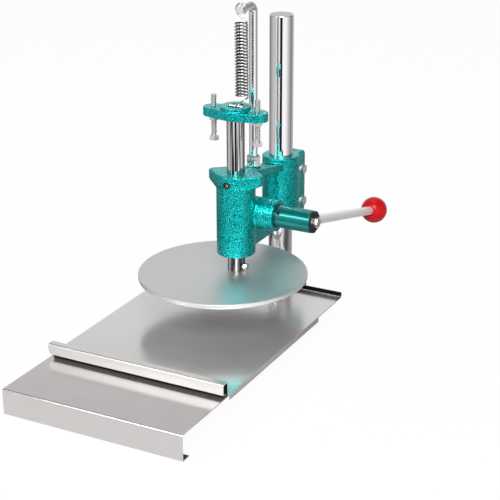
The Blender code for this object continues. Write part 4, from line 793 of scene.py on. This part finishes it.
CROSS_LOW = 0.319
CROSS_TOP = 0.331
PIN_Y = 0.0045
PIN_Z = 0.3335
PIN = 0.0025
cross = joined(
    "crossplate_in_enamel",
    hulled("plate",
           bar("middle", 0.0222, (0, 0, CROSS_LOW), (0, 0, CROSS_TOP)),
           bar("end", 0.0148, (-EAR_X, 0, CROSS_LOW), (-EAR_X, 0, CROSS_TOP), 64),
           bar("end", 0.0148, (EAR_X, 0, CROSS_LOW), (EAR_X, 0, CROSS_TOP), 64)),
    bar("ring", 0.021, (0, 0, 0.325), (0, 0, 0.336)))
cast(cross, 0.0006, 6)
cut(cross,
    hole(RAM_BORE, (0, 0, 0.31), (0, 0, 0.3301), 96),
    hole(0.012, (0, 0, 0.32), (0, 0, 0.34), 96),
    hole(M8_HOLE, (-EAR_X, 0, 0.31), (-EAR_X, 0, 0.34)),
    hole(M8_HOLE, (EAR_X, 0, 0.31), (EAR_X, 0, 0.34)),
    hole(PIN + 0.0003, (-0.03, PIN_Y, PIN_Z), (0.03, PIN_Y, PIN_Z)),
    hole(0.0033, (0, 0.005, 0.323), (0, 0.03, 0.323)))
complete(cross, teal, "ram", "crossplate", 50)
dress(black_oxide, "crossplate_screw")
low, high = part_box("hook_pin")
pin = bar("hook_cross_pin", PIN, (low.x, PIN_Y, PIN_Z), (high.x, PIN_Y, PIN_Z), 48)
break_edges(pin, 0.0005)
complete(pin, turned_steel, "ram", "hook_pin")


# The stop screws
# Two M8 screws with a full thread, heads down, set by their nuts under the crossplate. Their heads land on
# the flange's ears and end the stroke.


def close_up(piece):
    """Merge the points that coincide, and turn all faces outward."""
    pick(piece, "FACE", everywhere)
    bpy.ops.mesh.remove_doubles(threshold=1e-6)
    bpy.ops.mesh.normals_make_consistent(inside=False)
    leave_edit()


def threaded_rod(name, radius, pitch, foot, length):
    """A rod with its thread wound as one ridge, standing on a point."""
    depth = pitch * 0.61
    rod = added(name, bpy.ops.mesh.primitive_plane_add, (depth, pitch, 1), size=1,
                location=(radius - depth / 2, 0, -pitch), rotation=(math.pi / 2, 0, 0))
    edit(rod, "EDGE", lambda middle: near(middle.x, radius - depth), bpy.ops.mesh.delete, type="EDGE_FACE")
    edit(rod, "EDGE", lambda middle: near(middle.x, radius), bpy.ops.transform.resize,
         value=(1, 1, 0.2), center_override=(radius, 0, -pitch))
    shape_with(rod, "SCREW", axis="Z", angle=math.tau, screw_offset=pitch,
               iterations=math.ceil(length / pitch) + 3, steps=24, render_steps=24,
               use_merge_vertices=True, merge_threshold=1e-6)
    divide(rod, (0, 0, 0), (0, 0, 1), use_fill=True, clear_inner=True)
    divide(rod, (0, 0, length), (0, 0, 1), use_fill=True, clear_outer=True)
    close_up(rod)
    rod.location = foot
    return settle(rod)


for word, x in (("left", -EAR_X), ("right", EAR_X)):
    low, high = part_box(f"stop_screw_{word}")
    screw = joined(f"threaded_stop_{word}",
                   hexagon("head", M8_FLATS, (x, 0, low.z + 0.0053), (x, 0, low.z)),
                   threaded_rod("thread", M8, 0.00125, (x, 0, low.z + 0.005), high.z - low.z - 0.005))
    complete(screw, turned_steel, "ram", f"stop_screw_{word}")
    low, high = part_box(f"stop_nut_{word}")
    nut = hexagon(f"stop_hexagon_nut_{word}", M8_FLATS, (x, 0, low.z), (x, 0, high.z), True)
    cut(nut, hole(M8 + 0.0001, (x, 0, low.z - 0.01), (x, 0, high.z + 0.01)))
    complete(nut, turned_steel, "ram", f"stop_nut_{word}")


# The return spring
# One spring steel wire of 2.2 mm: a loop round the post's arm, 24 open turns, and a hook under the cross pin.
# The inside of its turns is painted dark, a painted shade. It is drawn along the same path as its solid, with
# more points.

WIRE = 0.0011
COIL = 0.00865
TURNS = 24
COIL_Y = 0.0175
COIL_TOP = 0.4475
LEAN = 0.002
LENGTH = 0.104
ARM_Z = 0.465
CLEAR = 0.0006
spring_steel, shader, place = new_finish("spring_steel", "#C4C3C1", 1.0, 0.1)
wander(spring_steel, shader, place, 0.0008, 0.06, 0.16)
# The wire is painted near black where it faces the coil's axis, a painted shade inside the turns; the end
# loops stay light
axes = add_node(spring_steel, "ShaderNodeSeparateXYZ", None, {"Vector": place})
flat = add_node(spring_steel, "ShaderNodeCombineXYZ", None, {"X": axes.outputs["X"], "Y": axes.outputs["Y"]})
out = add_node(spring_steel, "ShaderNodeVectorMath", {"operation": "DISTANCE", 1: (0, COIL_Y + LEAN / 2, 0)},
               {0: flat})
outside = add_node(spring_steel, "ShaderNodeMapRange", {"From Min": COIL - 0.0005, "From Max": COIL + 0.0003},
                   {"Value": out})
height = axes.outputs["Z"]
above = add_node(spring_steel, "ShaderNodeMath", {"operation": "GREATER_THAN", 1: COIL_TOP + 0.0015},
                 {0: height})
below = add_node(spring_steel, "ShaderNodeMath", {"operation": "LESS_THAN", 1: COIL_TOP - LENGTH - 0.0015},
                 {0: height})
ends = add_node(spring_steel, "ShaderNodeMath", {"operation": "ADD"}, {0: above, 1: below})
unshaded_wire = add_node(spring_steel, "ShaderNodeMath", {"operation": "MAXIMUM"}, {0: outside, 1: ends})
two_tone(spring_steel, shader, "#1E1D1C", "#CBCAC8", unshaded_wire)


def on_coil(turns):
    """A point of the coil, counted in turns from its top."""
    share = turns / TURNS
    angle = math.tau * turns
    return Vector((COIL * math.cos(angle), COIL_Y + LEAN * share - COIL * math.sin(angle),
                   COIL_TOP - LENGTH * share))


def smooth_run(points, steps):
    """Points on a smooth curve through the given ones, first and last left out."""
    run = []
    for index in range(1, len(points) - 2):
        before, start, end, after = points[index - 1:index + 3]
        for step in range(steps):
            t = step / steps
            run.append(0.5 * (2 * start + (end - before) * t
                              + (2 * before - 5 * start + 4 * end - after) * t ** 2
                              + (3 * start - before - 3 * end + after) * t ** 3))
    run.append(points[-2])
    return run


LOOP = POST + CLEAR + WIRE
top = [Vector((LOOP * math.cos(math.radians(angle)), COIL_Y, ARM_Z + LOOP * math.sin(math.radians(angle))))
       for angle in range(-50, 215, 11)]
first_point = on_coil(0)
rise = top[-1].z - first_point.z
lead = [top[-2], top[-1],
        Vector((-LOOP / 3, COIL_Y, first_point.z + rise * 0.62)),
        Vector((LOOP * 0.66, COIL_Y + WIRE, first_point.z + rise * 0.25)),
        first_point, on_coil(1 / 9)]
coil = [on_coil(step / 24) for step in range(TURNS * 24 + 1)]
HOOK = PIN + CLEAR + WIRE
bottom = [Vector((0, PIN_Y + HOOK * math.cos(math.radians(angle)),
                  PIN_Z + HOOK * math.sin(math.radians(angle)))) for angle in range(0, -211, -15)]
last_point = coil[-1]
fall = last_point.z - bottom[0].z
tail = [on_coil(TURNS - 1 / 9), last_point,
        Vector((COIL * 0.80, last_point.y - COIL * 0.62, last_point.z - fall * 0.22)),
        Vector((COIL * 0.25, bottom[0].y + COIL * 0.30, last_point.z - fall * 0.55)),
        bottom[0], bottom[2]]
path = top[:-1] + smooth_run(lead, 10)[:-1] + coil[:-1] + smooth_run(tail, 10)[:-1] + bottom
line = bpy.data.curves.new("wound_spring", "CURVE")
line.dimensions = "3D"
line.bevel_depth = WIRE
line.bevel_resolution = 3
line.use_fill_caps = True
wire = line.splines.new("POLY")
wire.points.add(len(path) - 1)
for spot, point in zip(wire.points, path):
    spot.co = (*point, 1)
spring = bpy.data.objects.new("wound_spring", line)
bpy.context.scene.collection.objects.link(spring)
only(spring)
bpy.ops.object.convert(target="MESH")
spring = bpy.context.object
close_up(spring)
only(spring)
bpy.ops.object.shade_smooth_by_angle(angle=math.radians(50))
coat(spring, spring_steel)
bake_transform(spring)
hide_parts("return_spring")


# The floor, the light and the camera
# A plain pale floor under a white room with softer grey sides, which the bright metal mirrors as stripes,
# with large soft lamps. The camera stands at the photograph's angle.

# Tones of the room as (degrees from the camera's side towards its right, brightness): of the floor far from
# the press, of the floor near it, and of the walls
CAMERA_SIDE = math.radians(27.47)
FLOOR_TONES = (
    (-180, 0.85), (-155, 0.5), (-141, 0.2), (-118, 0.31), (-101, 0.43), (-87, 0.52), (-74, 0.6), (-62, 0.48),
    (-51, 0.85), (-44, 0.5), (-38, 0.1), (-33, 0.35), (-27, 0.8), (-21, 1.0), (-17, 1.0), (-14, 0.02),
    (-5, 0.01), (6, 0.02), (9, 1.0), (32, 1.0), (40, 0.97), (51, 0.85), (62, 0.66), (74, 0.5),
    (87, 0.37), (101, 0.22), (118, 0.3), (150, 0.75), (180, 0.85),
)
NEAR_TONES = (
    (-180, 0.25), (-150, 0.12), (-120, 0.05), (-85, 0.06), (-60, 0.35), (-42, 1.0), (0, 1.0), (32, 1.0),
    (52, 0.6), (72, 0.1), (95, 0.08), (125, 0.3), (150, 0.4), (180, 0.25),
)
WALL_TONES = (
    (-180, 1.0), (-150, 0.8), (-120, 0.4), (-90, 0.35), (-70, 0.8), (-55, 0.9), (-35, 0.75), (-12, 0.72),
    (-5, 0.2), (4, 0.75), (40, 0.75), (70, 0.45), (100, 0.15), (130, 0.3), (150, 0.8), (165, 1.0), (180, 1.0),
)
# The same by the height of the direction, from the horizon at 0 to straight up at 1
HEIGHT_TONES = (
    (0.0, 0.95), (0.40, 1.0), (0.42, 0.78), (0.45, 0.58), (0.52, 0.56), (0.62, 0.5), (0.80, 0.3), (1.0, 0.25),
)


def graded(holder, value, tones):
    """A grey that follows a value from 0 to 1 through the given tones."""
    ramp = add_node(holder, "ShaderNodeValToRGB", None, {"Fac": value})
    stops = ramp.color_ramp.elements
    while len(stops) < len(tones):
        stops.new(0.5)
    for stop, (position, tone) in zip(stops, tones):
        stop.position = position
        stop.color = (tone, tone, tone, 1)
    return ramp


def room_tone(holder, way, tones):
    """How bright the room is in each horizontal direction."""
    axes = add_node(holder, "ShaderNodeSeparateXYZ", None, {"Vector": way})
    flip = add_node(holder, "ShaderNodeMath", {"operation": "MULTIPLY", 1: -1.0}, {0: axes.outputs["Y"]})
    turn = add_node(holder, "ShaderNodeMath", {"operation": "ARCTAN2"}, {0: axes.outputs["X"], 1: flip})
    away = add_node(holder, "ShaderNodeMath", {"operation": "SUBTRACT", 1: CAMERA_SIDE - math.pi}, {0: turn})
    share = add_node(holder, "ShaderNodeMath", {"operation": "DIVIDE", 1: math.tau}, {0: away})
    wrapped = add_node(holder, "ShaderNodeMath", {"operation": "FRACT"}, {0: share})
    return graded(holder, wrapped, [((degrees + 180) / 360, tone) for degrees, tone in tones])


pale = bpy.data.materials.new("pale_floor")
pale.use_nodes = True
shader = pale.node_tree.nodes["Principled BSDF"]
shader.inputs["Base Color"].default_value = linear("#FCFCFC")
shader.inputs["Roughness"].default_value = 0.9
place = add_node(pale, "ShaderNodeTexCoord").outputs["Object"]
rays = add_node(pale, "ShaderNodeLightPath").outputs
white = add_node(pale, "ShaderNodeEmission", {"Color": (1, 1, 1, 1), "Strength": 1.0})
# In reflections the floor shows a dark strip of painted shadow behind the base's front, under the press
spot = add_node(pale, "ShaderNodeSeparateXYZ", None, {"Vector": place}).outputs
across = add_node(pale, "ShaderNodeMath", {"operation": "ABSOLUTE"}, {0: spot["X"]})
beside = add_node(pale, "ShaderNodeMapRange",
                  {"From Min": 0.15, "From Max": 0.18, "To Min": 1.0, "To Max": 0.0}, {"Value": across})
behind = add_node(pale, "ShaderNodeMapRange", {"From Min": -0.29, "From Max": -0.27}, {"Value": spot["Y"]})
shade = add_node(pale, "ShaderNodeMath", {"operation": "MULTIPLY"}, {0: beside, 1: behind})
# Around it, two rings of tones, one round the press and one round the column
from_column = add_node(pale, "ShaderNodeVectorMath", {"operation": "SUBTRACT", 1: (0, COLUMN_Y, 0)},
                       {0: place})
range_out = add_node(pale, "ShaderNodeVectorMath", {"operation": "DISTANCE", 1: (0, 0.07, 0)}, {0: place})
far = add_node(pale, "ShaderNodeMapRange", {"From Min": 0.5, "From Max": 0.58}, {"Value": range_out})
ring = add_node(pale, "ShaderNodeMix", {"data_type": "RGBA"},
                {"Factor": far, "A": room_tone(pale, place, NEAR_TONES),
                 "B": room_tone(pale, from_column, FLOOR_TONES)})
dim = add_node(pale, "ShaderNodeMix", {"data_type": "RGBA", "B": (0.3, 0.3, 0.3, 1)},
               {"Factor": shade, "A": ring})
# And an even grey in front of the apron
reach = add_node(pale, "ShaderNodeVectorMath", {"operation": "DISTANCE", 1: (-0.03, -0.37, 0)}, {0: place})
ahead = add_node(pale, "ShaderNodeMapRange",
                 {"From Min": 0.17, "From Max": 0.22, "To Min": 1.0, "To Max": 0.0}, {"Value": reach})
tone = add_node(pale, "ShaderNodeMix", {"data_type": "RGBA", "B": (0.84, 0.84, 0.84, 1)},
                {"Factor": ahead, "A": dim})
mirrored = add_node(pale, "ShaderNodeEmission", {"Strength": 1.0}, {"Color": tone})
# The camera sees nearly plain white, and the rest keeps the shadow
seen = add_node(pale, "ShaderNodeMath", {"operation": "MULTIPLY", 1: 0.965}, {0: rays["Is Camera Ray"]})
direct = add_node(pale, "ShaderNodeMixShader", None, {"Fac": seen, 1: shader, 2: white})
glossy = add_node(pale, "ShaderNodeMath", {"operation": "MAXIMUM"},
                  {0: rays["Is Glossy Ray"], 1: rays["Is Transmission Ray"]})
shown = add_node(pale, "ShaderNodeMixShader", None, {"Fac": glossy, 1: direct, 2: mirrored})
plug(pale.node_tree.nodes["Material Output"], {"Surface": shown})
floor = sheet("pale_floor", (-8, -8, 0), (8, 8, 0))
coat(floor, pale)

world = bpy.data.worlds.new("white_room")
bpy.context.scene.world = world
world.use_nodes = True
world.node_tree.nodes.clear()
way = add_node(world, "ShaderNodeTexCoord").outputs["Generated"]
rays = add_node(world, "ShaderNodeLightPath").outputs
steep = add_node(world, "ShaderNodeSeparateXYZ", None, {"Vector": way}).outputs["Z"]
walls = add_node(world, "ShaderNodeMix", {"data_type": "RGBA", "blend_type": "MULTIPLY", "Factor": 1.0},
                 {"A": room_tone(world, way, WALL_TONES), "B": graded(world, steep, HEIGHT_TONES)})
stripes = add_node(world, "ShaderNodeBackground", {"Strength": 1.0}, {"Color": walls})
plain = add_node(world, "ShaderNodeBackground", {"Color": (1, 1, 1, 1), "Strength": 1.0})
soft = add_node(world, "ShaderNodeBackground", {"Color": (0.97, 0.98, 1, 1), "Strength": 0.26})
gloss = add_node(world, "ShaderNodeMixShader", None, {"Fac": rays["Is Glossy Ray"], 1: soft, 2: stripes})
for_view = add_node(world, "ShaderNodeMixShader", None, {"Fac": rays["Is Camera Ray"], 1: gloss, 2: plain})
add_node(world, "ShaderNodeOutputWorld", None, {"Surface": for_view})


def lamp(name, watts, size, place, aim):
    """A soft square lamp that shines on a point."""
    light = bpy.data.lights.new(name, "AREA")
    light.energy = watts
    light.size = size
    holder = bpy.data.objects.new(name, light)
    holder.location = place
    holder.rotation_euler = (Vector(aim) - Vector(place)).to_track_quat("-Z", "Y").to_euler()
    bpy.context.scene.collection.objects.link(holder)


lamp("key_lamp", 50, 1.2, (0.78, -1.5, 1.85), (0, 0, 0.15))
lamp("fill_lamp", 10, 0.5, (-0.9, -1.66, 1.4), (0, 0, 0.2))
lamp("back_lamp", 5, 1.6, (-0.4, 0.8, 2.3), (0, 0, 0.2))

FOCAL_PIXELS = 1420.4
IMAGE_PIXELS = 500
SENSOR_MM = 36
DISTANCE = 2.0008
camera = bpy.data.cameras.new("camera")
camera.lens = FOCAL_PIXELS / IMAGE_PIXELS * SENSOR_MM
camera.sensor_width = SENSOR_MM
holder = bpy.data.objects.new("camera", camera)
rise = math.radians(21.68)
lean = math.radians(-0.1)
target = Vector((0.0219, 0, 0.1283))
right = Vector((math.cos(CAMERA_SIDE), math.sin(CAMERA_SIDE), 0))
away = Vector((right.y * math.cos(rise), -right.x * math.cos(rise), math.sin(rise)))
up = away.cross(right)
right, up = right * math.cos(lean) + up * math.sin(lean), up * math.cos(lean) - right * math.sin(lean)
stand = Matrix((right, up, away)).transposed().to_4x4()
stand.translation = target + away * DISTANCE
holder.matrix_world = stand
bpy.context.scene.collection.objects.link(holder)
bpy.context.scene.camera = holder
bpy.context.scene.view_settings.view_transform = "Standard"
